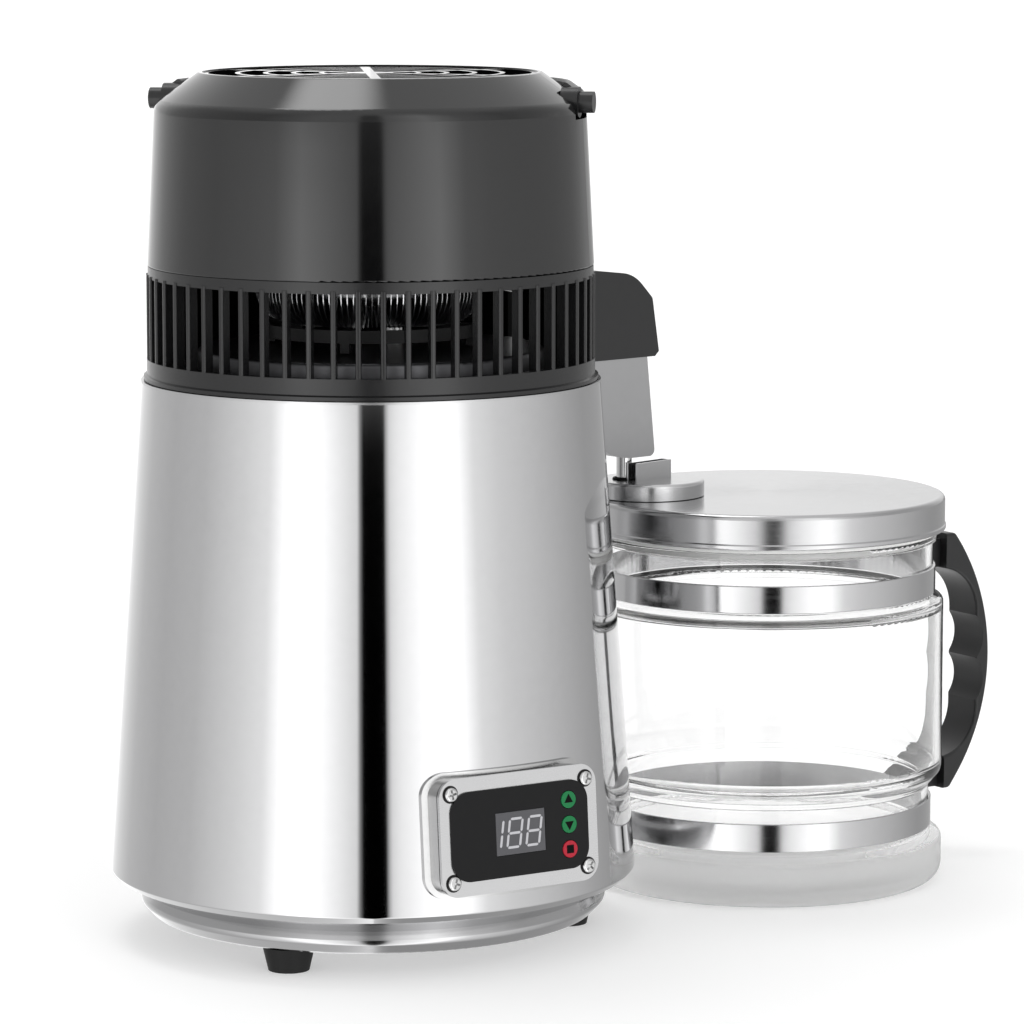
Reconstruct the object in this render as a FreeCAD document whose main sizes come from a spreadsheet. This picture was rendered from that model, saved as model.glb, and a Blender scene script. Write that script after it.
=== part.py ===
import FreeCAD, Part
import math
import os
import re

import Sketcher
from FreeCAD import Placement, Rotation, Vector

# Countertop water distiller. The boiler's axis is +Z and the bench is z = 0.
# The display faces -Y and the collecting jug stands at +X under the nozzle.
# Lengths are millimetres, angles degrees, azimuths turn from +X towards +Y.

SIZES = {
    # Clearances and stock that several pieces share
    "running_gap": 0.3,
    "shaft_fit": 0.05,
    "steel_gauge": 1.0,
    "moulding_wall": 2.5,
    # Boiler shell, a cone of polished steel
    "shell_bottom_radius": 115,
    "shell_bottom_height": 30,
    "shell_top_height": 243,
    "shell_lean": 4.13,
    "shell_chamfer": 3,
    "envelope_margin": 20,
    # Boiling chamber hung in the shell by its rim
    "chamber_radius": 91,
    "chamber_floor_height": 52,
    "chamber_round": 14,
    # Base tray and rubber feet
    "foot_height": 10.5,
    "foot_top_radius": 11.25,
    "foot_bottom_radius": 8.8,
    "foot_circle_radius": 86,
    "foot_count": 3,
    "foot_azimuth": -146,
    "tray_foot_radius": 97,
    "tray_band_radius": 102.5,
    "tray_band_height": 16.5,
    "tray_round": 3,
    "tray_groove_radius": 100.5,
    "tray_groove_height": 21,
    "tray_wall": 2.5,
    # Heater under the chamber floor
    "heater_plate_radius": 62,
    "heater_plate_gauge": 4,
    "element_ring_radius": 46,
    "element_radius": 4.2,
    "element_arc": 300,
    "terminal_radius": 2.4,
    "terminal_length": 12,
    "thermostat_radius": 8.5,
    "thermostat_height": 7,
    # Mains inlet at the back of the boiler
    "inlet_width": 50,
    "inlet_tall": 31,
    "inlet_depth": 22,
    "inlet_height": 62,
    "inlet_reach": 117.2,
    "inlet_round": 4,
    "socket_width": 24,
    "socket_tall": 17,
    "socket_depth": 15,
    "socket_key": 4.5,
    "inlet_pin_width": 2,
    "inlet_pin_tall": 4,
    "inlet_pin_length": 11,
    "inlet_pin_pitch": 7,
    "inlet_pin_rise": 2,
    "inlet_screw_pitch": 40,
    # Display panel: housing, plate, membrane and screws
    "panel_height": 64,
    "panel_reach": 118,
    "panel_width": 78,
    "panel_tall": 49.6,
    "panel_round": 8,
    "plate_gauge": 1.6,
    "housing_inset": 0.6,
    "housing_depth": 20,
    "neck_inset": 2.4,
    "neck_depth": 1.5,
    "flange_outset": 1.8,
    "flange_rise": 2,
    "overlay_width": 68,
    "overlay_tall": 37.7,
    "overlay_margin": 1,
    "overlay_round": 9,
    "overlay_gauge": 0.8,
    "window_width": 24.7,
    "window_tall": 18.3,
    "window_round": 0.5,
    "window_drop": 0.6,
    "board_gauge": 1.2,
    "board_depth": 3.2,
    "module_clearance": 0.2,
    "module_rise": 0.7,
    "digit_tall": 11.9,
    "digit_width": 6.3,
    "digit_pitch": 9.5,
    "digit_shift": 1.9,
    "digit_slant": 9,
    "segment_width": 1.05,
    "segment_gap": 0.3,
    "segment_relief": 0.12,
    # Keys under the membrane
    "key_radius": 3.6,
    "key_column": 24.3,
    "key_pitch": 10.5,
    "key_rise": 0.3,
    "key_travel": 0.4,
    "key_length": 3.1,
    "switch_radius": 2.2,
    # Pan head screws of the panel and the inlet
    "screw_head_radius": 3,
    "screw_head_height": 1.8,
    "screw_radius": 1.4,
    "screw_length": 6,
    "screw_column": 33.5,
    "screw_row": 18.6,
    # Louvre ring
    "louvre_radius": 97.1,
    "louvre_lip": 1.4,
    "louvre_lip_height": 1.6,
    "louvre_wall": 4.6,
    "louvre_floor_radius": 84,
    "slot_bottom_rise": 10.3,
    "slot_tall": 35.2,
    "strip_inset": 0.7,
    "rib_count": 58,
    "rib_width": 2.4,
    "rib_overlap": 1.1,
    "rib_phase": 3.4,
    "baffle_radius": 87.5,
    "baffle_gauge": 1.2,
    "baffle_tall": 45,
    "baffle_arc": 170,
    "baffle_start": 35,
    "baffle_gate_width": 20,
    "baffle_gate_tall": 46,
    # Head shell
    "dome_radius": 96.6,
    "strip_tall": 4.8,
    "dome_lean": 2.9,
    "dome_tall": 69.3,
    "dome_round": 7,
    "shoulder_slope": 35.6,
    "crown_radius": 74,
    "mouth_radius": 72.2,
    "ledge_radius": 69.2,
    "ledge_gauge": 2,
    # Top grille
    "grille_gauge": 4,
    "grille_rim": 2.6,
    "grille_pitch": 10,
    "grille_ring_width": 2.2,
    "grille_hub_radius": 10,
    "grille_spoke_width": 4.4,
    "grille_spoke_count": 6,
    "grille_spoke_azimuth": 1,
    # Fan
    "fan_frame_radius": 68.5,
    "fan_bore_radius": 66,
    "fan_flange_radius": 71.5,
    "fan_depth": 24,
    "fan_flange_gauge": 2.5,
    "fan_hub_gauge": 3.5,
    "fan_strut_width": 5,
    "fan_strut_count": 4,
    "motor_radius": 19.5,
    "motor_length": 14,
    "shaft_radius": 2.5,
    "rotor_cup_radius": 23,
    "rotor_cup_gap": 1,
    "rotor_cup_depth": 17,
    "rotor_floor": 2.5,
    "blade_count": 7,
    "blade_tip_gap": 1.5,
    "blade_chord": 24,
    "blade_root_pitch": 40,
    "blade_tip_pitch": 24,
    "blade_gauge": 1.6,
    # Base pan and gasket that close the boiler
    "pan_radius": 91.5,
    "pan_step_radius": 75,
    "pan_step_rise": 14.5,
    "pan_top_rise": 16,
    "gasket_depth": 6,
    "gasket_width": 7,
    # Finned condenser coil
    "coil_radius": 35.5,
    "coil_tube_radius": 4.75,
    "coil_low_rise": 40.2,
    "coil_level_pitch": 30,
    "fin_radius": 14.5,
    "fin_gauge": 0.8,
    "fin_pitch": 8,
    "riser_bend": 14,
    "riser_sweep": 12,
    "outlet_bend": 15,
    "outlet_slope": 15,
    "outlet_rise": 12,
    "cradle_radius": 47.5,
    "cradle_gauge": 2.5,
    "cradle_height": 5.5,
    "cradle_arm_width": 4,
    "cradle_arm_inner": 30,
    # Nozzle: moulded cover, steel duct and spout tube
    "nozzle_azimuth": 8.7,
    "cover_width": 24,
    "cover_heel_radius": 102,
    "cover_heel_rise": 3.8,
    "cover_bottom_rise": 0.4,
    "cover_inner_rise": 44.4,
    "cover_bend_radius": 145,
    "cover_bend_rise": 38.5,
    "cover_shoulder_radius": 156.5,
    "cover_shoulder_rise": 27.1,
    "cover_reach": 160.6,
    "cover_round": 20,
    "duct_width": 21,
    "duct_top_reach": 154.7,
    "duct_reach": 159.8,
    "duct_drop": 45.4,
    "duct_shell_gap": 3,
    "duct_inner_round": 44,
    "duct_outer_round": 3,
    "spout_reach": 150.3,
    "spout_radius": 3.6,
    "spout_bore_radius": 2.6,
    # Carry handle of the head
    "pivot_azimuth": -45,
    "pivot_rise": 1.4,
    "peg_radius": 4.6,
    "peg_reach": 98.2,
    "bail_inner_radius": 84.5,
    "bail_outer_radius": 92,
    "bail_gauge": 4.2,
    "bail_round": 1.2,
    "bail_rest_gap": 0.5,
    "eye_radius": 6.6,
    "recess_half_width": 12,
    "recess_margin": 0.4,
    # Inlet for the fan's lead at the back of the head
    "fan_inlet_azimuth": 90,
    "fan_inlet_rise": 24.7,
    "fan_inlet_width": 30,
    "fan_inlet_tall": 20,
    "fan_inlet_reach": 97.5,
    "fan_inlet_depth": 16,
    "fan_socket_width": 14.4,
    "fan_socket_tall": 8.4,
    "fan_socket_depth": 9,
    "fan_pin_radius": 1.2,
    "fan_pin_pitch": 6.4,
    "fan_pin_length": 7,
    # Collecting jug of thick glass
    "jug_distance": 211.7,
    "jug_base_radius": 82.6,
    "jug_base_height": 20.4,
    "jug_base_round": 8,
    "jug_foot_rise": 1.5,
    "jug_foot_radius": 62,
    "jug_radius": 82.4,
    "jug_glass_wall": 3,
    "jug_floor_gauge": 8,
    "jug_low_neck_radius": 76.6,
    "jug_low_neck_height": 44.9,
    "jug_low_shoulder_height": 51.5,
    "jug_high_shoulder_height": 130.8,
    "jug_neck_radius": 77.6,
    "jug_neck_height": 133.6,
    "jug_rim_radius": 78.9,
    "jug_rim_height": 160.7,
    "jug_rim_depth": 2.8,
    # Steel bands of the jug
    "band_gauge": 1,
    "low_band_height": 25.5,
    "low_band_tall": 12.8,
    "high_band_height": 133.9,
    "high_band_tall": 12.4,
    # Jug handle
    "grip_width": 22,
    "grip_edge_round": 1.4,
    "grip_start": 98,
    "grip_reach": 124.2,
    "grip_bow_radius": 96.2,
    "grip_bow_angle": 36.3,
    "grip_middle_height": 93.4,
    "grip_top_height": 153,
    "grip_bottom_height": 31,
    "grip_end_round": 3,
    "opening_reach": 116.6,
    "opening_top_height": 136.7,
    "opening_bottom_height": 46.2,
    "opening_round": 22.5,
    "scallop_radius": 15,
    "scallop_reach": 120.6,
    "scallop_pitch": 20.3,
    "scallop_first_height": 81.9,
    "scallop_count": 2,
    "arm_width": 12,
    "arm_overlap": 3,
    "arm_slope_start": 90,
    # Lid
    "lid_radius": 82.7,
    "lid_bead": 0.5,
    "lid_gap": 2.3,
    "lid_skirt_tall": 15.6,
    "lid_edge_round": 2.4,
    "lid_crown_rise": 0.6,
    "lid_crown_drop": 0.25,
    "lid_crown_bend": 45,
    "lid_crown_round": 600,
    "lid_flange_radius": 74,
    "lid_gasket_depth": 3.5,
    "lid_gasket_wall": 2,
    # Filter cap and cup on the lid
    "cap_offset": 51.9,
    "cap_side": 18.4,
    "cap_radius": 25,
    "cap_rise": 7.3,
    "cap_round": 1.5,
    "spout_hole_radius": 4.3,
    "tab_length": 23.4,
    "tab_height": 8,
    "tab_gauge": 1,
    "tab_gap": 3.6,
    "tab_slant": 3.8,
    "tab_azimuth": 14,
    "cup_radius": 16.4,
    "cup_depth": 17.2,
    "cup_hole_radius": 2,
    "cup_hole_circle": 9,
    "cup_hole_count": 8,
}

# Heights that follow from the sizes, so that the pieces above a rim move with it
HEIGHTS = {
    "slot_bottom_height": "shell_top_height + slot_bottom_rise",
    "slot_top_height": "slot_bottom_height + slot_tall",
    "dome_bottom_height": "slot_top_height + strip_tall",
    "dome_corner_height": "dome_bottom_height + dome_tall",
    "pan_step_height": "shell_top_height + pan_step_rise",
    "pan_top_height": "shell_top_height + pan_top_rise",
    "coil_low_height": "shell_top_height + coil_low_rise",
    "outlet_height": "shell_top_height + outlet_rise",
    "cover_heel_height": "shell_top_height + cover_heel_rise",
    "cover_bottom_height": "shell_top_height + cover_bottom_rise",
    "cover_inner_top": "shell_top_height + cover_inner_rise",
    "cover_bend_height": "shell_top_height + cover_bend_rise",
    "cover_shoulder_height": "shell_top_height + cover_shoulder_rise",
    "duct_bottom_height": "shell_top_height - duct_drop",
    "pivot_height": "dome_corner_height + pivot_rise",
    "fan_inlet_height": "dome_bottom_height + fan_inlet_rise",
    "lid_bottom_height": "jug_rim_height + lid_gap",
    "lid_skirt_height": "lid_bottom_height + lid_skirt_tall",
    "lid_crown_height": "lid_skirt_height + lid_crown_rise",
    "cap_top_height": "lid_crown_height + cap_rise",
    "cup_bottom_height": "lid_crown_height - cup_depth",
}

document = FreeCAD.newDocument("WaterDistiller")
sheet = document.addObject("Spreadsheet::Sheet", "Sizes")
for row, (name, number) in enumerate(SIZES.items(), start=1):
    sheet.set(f"A{row}", name)
    sheet.set(f"B{row}", str(number))
    sheet.setAlias(f"B{row}", name)
document.recompute()
for row, (name, formula) in enumerate(HEIGHTS.items(), start=len(SIZES) + 1):
    sheet.set(f"A{row}", name)
    sheet.set(f"B{row}", "=" + formula)
    sheet.setAlias(f"B{row}", name)
    document.recompute()
NAMES = set(SIZES) | set(HEIGHTS)

# Sub-parts by node name, in the order in which they are written
sub_parts = {}


def value(formula):
    """The number that a formula of the sheet's sizes comes to."""
    return float(sheet.evalExpression(str(formula)))


def bound(formula):
    """The formula with each size written as a cell of the sheet."""
    return re.sub(r"[a-z]\w*", lambda word: "Sizes." + word[0] if word[0] in NAMES else word[0], str(formula))


def bind(thing, prop, formula):
    """Ties a property to a formula of the sheet's sizes."""
    thing.setExpression(prop, bound(formula))


def keep(node, thing):
    """Labels a finished sub-part and puts it on the list."""
    thing.Label = node
    sub_parts[node] = thing
    return thing


def new_body(name):
    """An empty body at the origin."""
    return document.addObject("PartDesign::Body", name)


def place(thing, x="0", y="0", z="0", azimuth=None):
    """Binds a piece's place, and its turn about the vertical."""
    if azimuth is not None:
        thing.Placement = Placement(Vector(), Rotation(Vector(0, 0, 1), 30))
        bind(thing, "Placement.Rotation.Angle", azimuth)
    bind(thing, "Placement.Base.x", x)
    bind(thing, "Placement.Base.y", y)
    bind(thing, "Placement.Base.z", z)


def sketch_on(body, role, name, lift="0", turn=None):
    """A sketch on one of the body's own planes, lifted along and turned about that plane's normal."""
    sketch = body.newObject("Sketcher::SketchObject", name)
    plane = [item for item in body.Origin.OriginFeatures if item.Role == role][0]
    sketch.AttachmentSupport = [(plane, "")]
    sketch.MapMode = "FlatFace"
    if turn is not None:
        sketch.AttachmentOffset = Placement(Vector(), Rotation(Vector(0, 0, 1), 30))
        bind(sketch, "AttachmentOffset.Rotation.Angle", turn)
    bind(sketch, "AttachmentOffset.Base.z", lift)
    return sketch


def outline(sketch, corners):
    """A closed outline. A corner is two formulas for its place and, where it is rounded, one for its radius."""
    points = [Vector(value(corner[0]), value(corner[1]), 0) for corner in corners]
    first = sketch.GeometryCount
    count = len(corners)
    for index in range(count):
        sketch.addGeometry(Part.LineSegment(points[index], points[(index + 1) % count]))
    for index in range(count):
        following = first + (index + 1) % count
        sketch.addConstraint(Sketcher.Constraint("Coincident", first + index, 2, following, 1))
    for index, corner in enumerate(corners):
        for kind, formula in zip(("DistanceX", "DistanceY"), corner):
            pin = Sketcher.Constraint(kind, -1, 1, first + index, 1, value(formula))
            bind(sketch, f"Constraints[{sketch.addConstraint(pin)}]", formula)
    for index, corner in enumerate(corners):
        if len(corner) == 3:
            arc = sketch.GeometryCount
            sketch.fillet(first + index, 1, value(corner[2]), True, True)
            radius = Sketcher.Constraint("Radius", arc, value(corner[2]))
            bind(sketch, f"Constraints[{sketch.addConstraint(radius)}]", corner[2])


def circle(sketch, radius, x="0", y="0"):
    """A full circle."""
    centre = Vector(value(x), value(y), 0)
    index = sketch.addGeometry(Part.Circle(centre, Vector(0, 0, 1), value(radius)))
    for kind, formula in (("DistanceX", x), ("DistanceY", y)):
        pin = Sketcher.Constraint(kind, -1, 1, index, 3, value(formula))
        bind(sketch, f"Constraints[{sketch.addConstraint(pin)}]", formula)
    size = sketch.addConstraint(Sketcher.Constraint("Radius", index, value(radius)))
    bind(sketch, f"Constraints[{size}]", radius)


def rectangle(sketch, width, tall, x="0", y="0", corner_radius=None):
    """A rectangle about its centre, with rounded corners where a radius is given."""
    extra = [] if corner_radius is None else [corner_radius]
    corners = []
    for side, end in ((-1, -1), (1, -1), (1, 1), (-1, 1)):
        corners.append([f"{x} + {side} * ({width}) / 2", f"{y} + {end} * ({tall}) / 2"] + extra)
    outline(sketch, corners)


def turn_about_axis(body, sketch, arc="360"):
    """Turns a sketch about the body's vertical axis."""
    feature = body.newObject("PartDesign::Revolution", sketch.Name + "Turn")
    feature.Profile = sketch
    feature.ReferenceAxis = (sketch, ["V_Axis"])
    bind(feature, "Angle", arc)
    return feature


def pad(body, sketch, length, reverse=False):
    """Raises a sketch along its normal."""
    feature = body.newObject("PartDesign::Pad", sketch.Name + "Pad")
    feature.Profile = sketch
    feature.Reversed = reverse
    bind(feature, "Length", length)
    return feature


def pocket(body, sketch, length, reverse=False):
    """Cuts a sketch against its normal, or along it where reversed."""
    feature = body.newObject("PartDesign::Pocket", sketch.Name + "Cut")
    feature.Profile = sketch
    feature.Reversed = reverse
    bind(feature, "Length", length)
    return feature


def around(body, features, sketch, count):
    """Repeats features evenly about the vertical axis."""
    pattern = body.newObject("PartDesign::PolarPattern", features[0].Name + "Pattern")
    pattern.Originals = features
    pattern.Axis = (sketch, ["N_Axis"])
    pattern.Angle = 360
    bind(pattern, "Occurrences", count)
    body.Tip = pattern
    return pattern


def turned(node, corners, arc="360"):
    """A sub-part turned from one outline of radii and heights."""
    body = new_body(node)
    sketch = sketch_on(body, "XZ_Plane", node + "_outline")
    outline(sketch, corners)
    turn_about_axis(body, sketch, arc)
    return keep(node, body)


def cylinder(name, radius, height, x="0", y="0", z="0"):
    """A plain upright cylinder."""
    thing = document.addObject("Part::Cylinder", name)
    bind(thing, "Radius", radius)
    bind(thing, "Height", height)
    place(thing, x, y, z)
    return thing


def group(node, members):
    """Several like solids that share one node."""
    thing = document.addObject("Part::Compound", node)
    thing.Links = members
    return keep(node, thing)


def shell_radius(height):
    """Formula for the boiler shell's outer radius at a height."""
    return f"(shell_bottom_radius - (({height}) - shell_bottom_height) * tan(shell_lean))"


def dome_radius(height):
    """Formula for the head shell's outer radius at a height."""
    return f"(dome_radius - (({height}) - dome_bottom_height) * tan(dome_lean))"


def shoulder_height(radius):
    """Formula for the height of the head's shoulder at a radius."""
    return f"(dome_corner_height + ({dome_radius('dome_corner_height')} - ({radius})) * tan(shoulder_slope))"


MOUTH_HEIGHT = shoulder_height("crown_radius")
HEAD_SEAT = "(shell_top_height + steel_gauge + running_gap)"
LEDGE_HEIGHT = f"({MOUTH_HEIGHT} - grille_gauge - 0.5)"
FAN_TOP = f"({LEDGE_HEIGHT} - ledge_gauge)"
MOTOR_TOP = f"({FAN_TOP} - fan_hub_gauge)"
PAN_FLANGE = f"({HEAD_SEAT} + moulding_wall)"


def make_shell():
    """Polished cone with its lower edge turned in, and windows for the panel and the inlet."""
    lip = "shell_bottom_radius - shell_chamfer"
    top_radius = shell_radius("shell_top_height")
    body = new_body("outer_shell")
    wall = sketch_on(body, "XZ_Plane", "shell_outline")
    outline(wall, [
        (lip, "shell_bottom_height - shell_chamfer"),
        ("shell_bottom_radius", "shell_bottom_height", "1"),
        (top_radius, "shell_top_height"),
        (f"{top_radius} - steel_gauge", "shell_top_height"),
        ("shell_bottom_radius - steel_gauge", "shell_bottom_height"),
        (lip, "shell_bottom_height - shell_chamfer + steel_gauge * sqrt(2)"),
    ])
    turn_about_axis(body, wall)
    panel_window = sketch_on(body, "XZ_Plane", "panel_window")
    rectangle(panel_window, "panel_width - 24", "panel_tall - 18", "0", "panel_height", "3")
    pocket(body, panel_window, "panel_reach + 10", reverse=True)
    inlet_window = sketch_on(body, "XZ_Plane", "inlet_window")
    rectangle(inlet_window, "inlet_width - 20", "inlet_tall - 8", "0", "inlet_height")
    pocket(body, inlet_window, "inlet_reach + 10")
    return keep("outer_shell", body)


def make_cone(name, outset):
    """Cone of the shell's outside, grown by an outset, from the bench to well above its rim."""
    cone = document.addObject("Part::Cone", name)
    bind(cone, "Radius1", f"{shell_radius('0')} + {outset}")
    bind(cone, "Radius2", f"{shell_radius('shell_top_height + envelope_margin')} + {outset}")
    bind(cone, "Height", "shell_top_height + envelope_margin")
    return cone


def make_chamber():
    """Deep drawn steel pot whose flange lies on the shell's rim."""
    inner = "chamber_radius - steel_gauge"
    rim = shell_radius("shell_top_height")
    return turned("inner_chamber", [
        ("0", "chamber_floor_height"),
        ("chamber_radius", "chamber_floor_height", "chamber_round"),
        ("chamber_radius", "shell_top_height"),
        (rim, "shell_top_height"),
        (rim, "shell_top_height + steel_gauge"),
        (inner, "shell_top_height + steel_gauge"),
        (inner, "chamber_floor_height + steel_gauge", "chamber_round - steel_gauge"),
        ("0", "chamber_floor_height + steel_gauge"),
    ])


def make_base():
    """Steel tray that closes the boiler, with its bulged band, and three tapered rubber feet."""
    flange = "shell_bottom_radius - shell_chamfer"
    flange_bottom = "shell_bottom_height - shell_chamfer"
    flange_top = f"{flange_bottom} + steel_gauge * sqrt(2)"
    inner = "tray_foot_radius - tray_wall"
    turned("base_tray", [
        ("0", "foot_height"),
        ("tray_foot_radius", "foot_height", "tray_round"),
        ("tray_band_radius", "tray_band_height", "tray_round"),
        ("tray_groove_radius", "tray_groove_height"),
        (flange, flange_bottom),
        (flange, flange_top),
        (inner, flange_top),
        (inner, "foot_height + tray_wall"),
        ("0", "foot_height + tray_wall"),
    ])
    feet = []
    for index in range(SIZES["foot_count"]):
        foot = document.addObject("Part::Cone", f"foot_{index}")
        azimuth = f"(foot_azimuth + {index} * 360 / foot_count)"
        bind(foot, "Radius1", "foot_bottom_radius")
        bind(foot, "Radius2", "foot_top_radius")
        bind(foot, "Height", "foot_height")
        place(foot, f"foot_circle_radius * cos({azimuth})", f"foot_circle_radius * sin({azimuth})")
        feet.append(foot)
    group("rubber_feet", feet)


def make_heater():
    """Plate, sheathed ring with its two terminals, and thermostat under the chamber."""
    plate_bottom = "chamber_floor_height - heater_plate_gauge"
    plate = cylinder("heater_plate", "heater_plate_radius", "heater_plate_gauge", z=plate_bottom)
    keep("heater_plate", plate)
    ring = document.addObject("Part::Torus", "element_ring")
    bind(ring, "Radius1", "element_ring_radius")
    bind(ring, "Radius2", "element_radius")
    bind(ring, "Angle3", "element_arc")
    place(ring, z=f"{plate_bottom} - element_radius", azimuth="90 + (360 - element_arc) / 2")
    pieces = [ring]
    for name, side in (("terminal_left", "-1"), ("terminal_right", "1")):
        azimuth = f"(90 + {side} * (360 - element_arc) / 2)"
        x = f"element_ring_radius * cos({azimuth})"
        y = f"element_ring_radius * sin({azimuth})"
        z = f"{plate_bottom} - element_radius - terminal_length"
        pieces.append(cylinder(name, "terminal_radius", "terminal_length", x, y, z))
    element = document.addObject("Part::MultiFuse", "heating_element")
    element.Shapes = pieces
    keep("heating_element", element)
    thermostat = cylinder("thermostat", "thermostat_radius", "thermostat_height",
                          z=f"{plate_bottom} - thermostat_height")
    keep("thermostat", thermostat)


def pan_screw(name):
    """A pan head screw along +Z whose head sits on its own origin."""
    body = new_body(name)
    sketch = sketch_on(body, "XZ_Plane", name + "_outline")
    outline(sketch, [
        ("0", "-screw_length"),
        ("screw_radius", "-screw_length"),
        ("screw_radius", "0"),
        ("screw_head_radius", "0"),
        ("screw_head_radius", "screw_head_height", "screw_head_height * 0.7"),
        ("0", "screw_head_height"),
    ])
    turn_about_axis(body, sketch)
    return body


def make_inlet(envelope):
    """Flanged mains inlet with three pins at the back of the boiler, and its two screws."""
    flange = new_body("inlet_flange_block")
    face = sketch_on(flange, "XZ_Plane", "inlet_flange_outline", lift="-inlet_reach")
    rectangle(face, "inlet_width", "inlet_tall", "0", "inlet_height", "inlet_round")
    for side in (-1, 1):
        circle(face, "screw_radius", f"{side} * inlet_screw_pitch / 2", "inlet_height")
    pad(flange, face, "inlet_depth")
    fitted = document.addObject("Part::Cut", "inlet_flange")
    fitted.Base = flange
    fitted.Tool = envelope
    core = new_body("inlet_core")
    through = sketch_on(core, "XZ_Plane", "inlet_core_outline", lift="-inlet_reach")
    rectangle(through, "inlet_width - 20 - 2 * running_gap", "inlet_tall - 8 - 2 * running_gap",
              "0", "inlet_height")
    pad(core, through, "inlet_depth")
    block = document.addObject("Part::MultiFuse", "inlet_block")
    block.Shapes = [fitted, core]
    well = new_body("inlet_well")
    mouth = sketch_on(well, "XZ_Plane", "inlet_well_outline", lift="-inlet_reach")
    low = "inlet_height - socket_tall / 2"
    high = "inlet_height + socket_tall / 2"
    outline(mouth, [
        ("-socket_width / 2", low),
        ("socket_width / 2", low),
        ("socket_width / 2", f"{high} - socket_key"),
        ("socket_width / 2 - socket_key", high),
        ("-socket_width / 2 + socket_key", high),
        ("-socket_width / 2", f"{high} - socket_key"),
    ])
    pad(well, mouth, "socket_depth")
    hollow = document.addObject("Part::Cut", "inlet_hollow")
    hollow.Base = block
    hollow.Tool = well
    pins = new_body("inlet_pins")
    ends = sketch_on(pins, "XZ_Plane", "inlet_pin_outline", lift="-inlet_reach + socket_depth")
    for column, row in ((-1, "-inlet_pin_rise"), (0, "inlet_pin_rise"), (1, "-inlet_pin_rise")):
        rectangle(ends, "inlet_pin_width", "inlet_pin_tall", f"{column} * inlet_pin_pitch",
                  f"inlet_height + {row}")
    pad(pins, ends, "inlet_pin_length", reverse=True)
    collar = document.addObject("Part::MultiFuse", "mains_inlet")
    collar.Shapes = [hollow, pins]
    keep("mains_inlet", collar)
    screws = []
    for side in (-1, 1):
        screw = pan_screw(f"inlet_screw_{1 + (side + 1) // 2}")
        screw.Placement = Placement(Vector(), Rotation(Vector(1, 0, 0), -90))
        bind(screw, "Placement.Base.x", f"{side} * inlet_screw_pitch / 2")
        bind(screw, "Placement.Base.y", "inlet_reach")
        bind(screw, "Placement.Base.z", "inlet_height")
        screws.append(screw)
    group("inlet_screws", screws)


def on_panel(thing, across="0", up="0"):
    """Places a piece on the panel's face, which leans with the shell."""
    thing.Placement = Placement(Vector(), Rotation(Vector(1, 0, 0), 80))
    bind(thing, "Placement.Rotation.Angle", "90 - shell_lean")
    bind(thing, "Placement.Base.x", across)
    bind(thing, "Placement.Base.y", f"-panel_reach + ({up}) * sin(shell_lean)")
    bind(thing, "Placement.Base.z", f"panel_height + ({up}) * cos(shell_lean)")


def carve_well(body, name):
    """Hollows a block of the display housing behind the membrane."""
    well = sketch_on(body, "XY_Plane", name + "_well", lift="-plate_gauge")
    rectangle(well, "overlay_width - 2 * overlay_margin", "overlay_tall - 2 * overlay_margin",
              corner_radius="overlay_round")
    pocket(body, well, "housing_depth")


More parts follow.
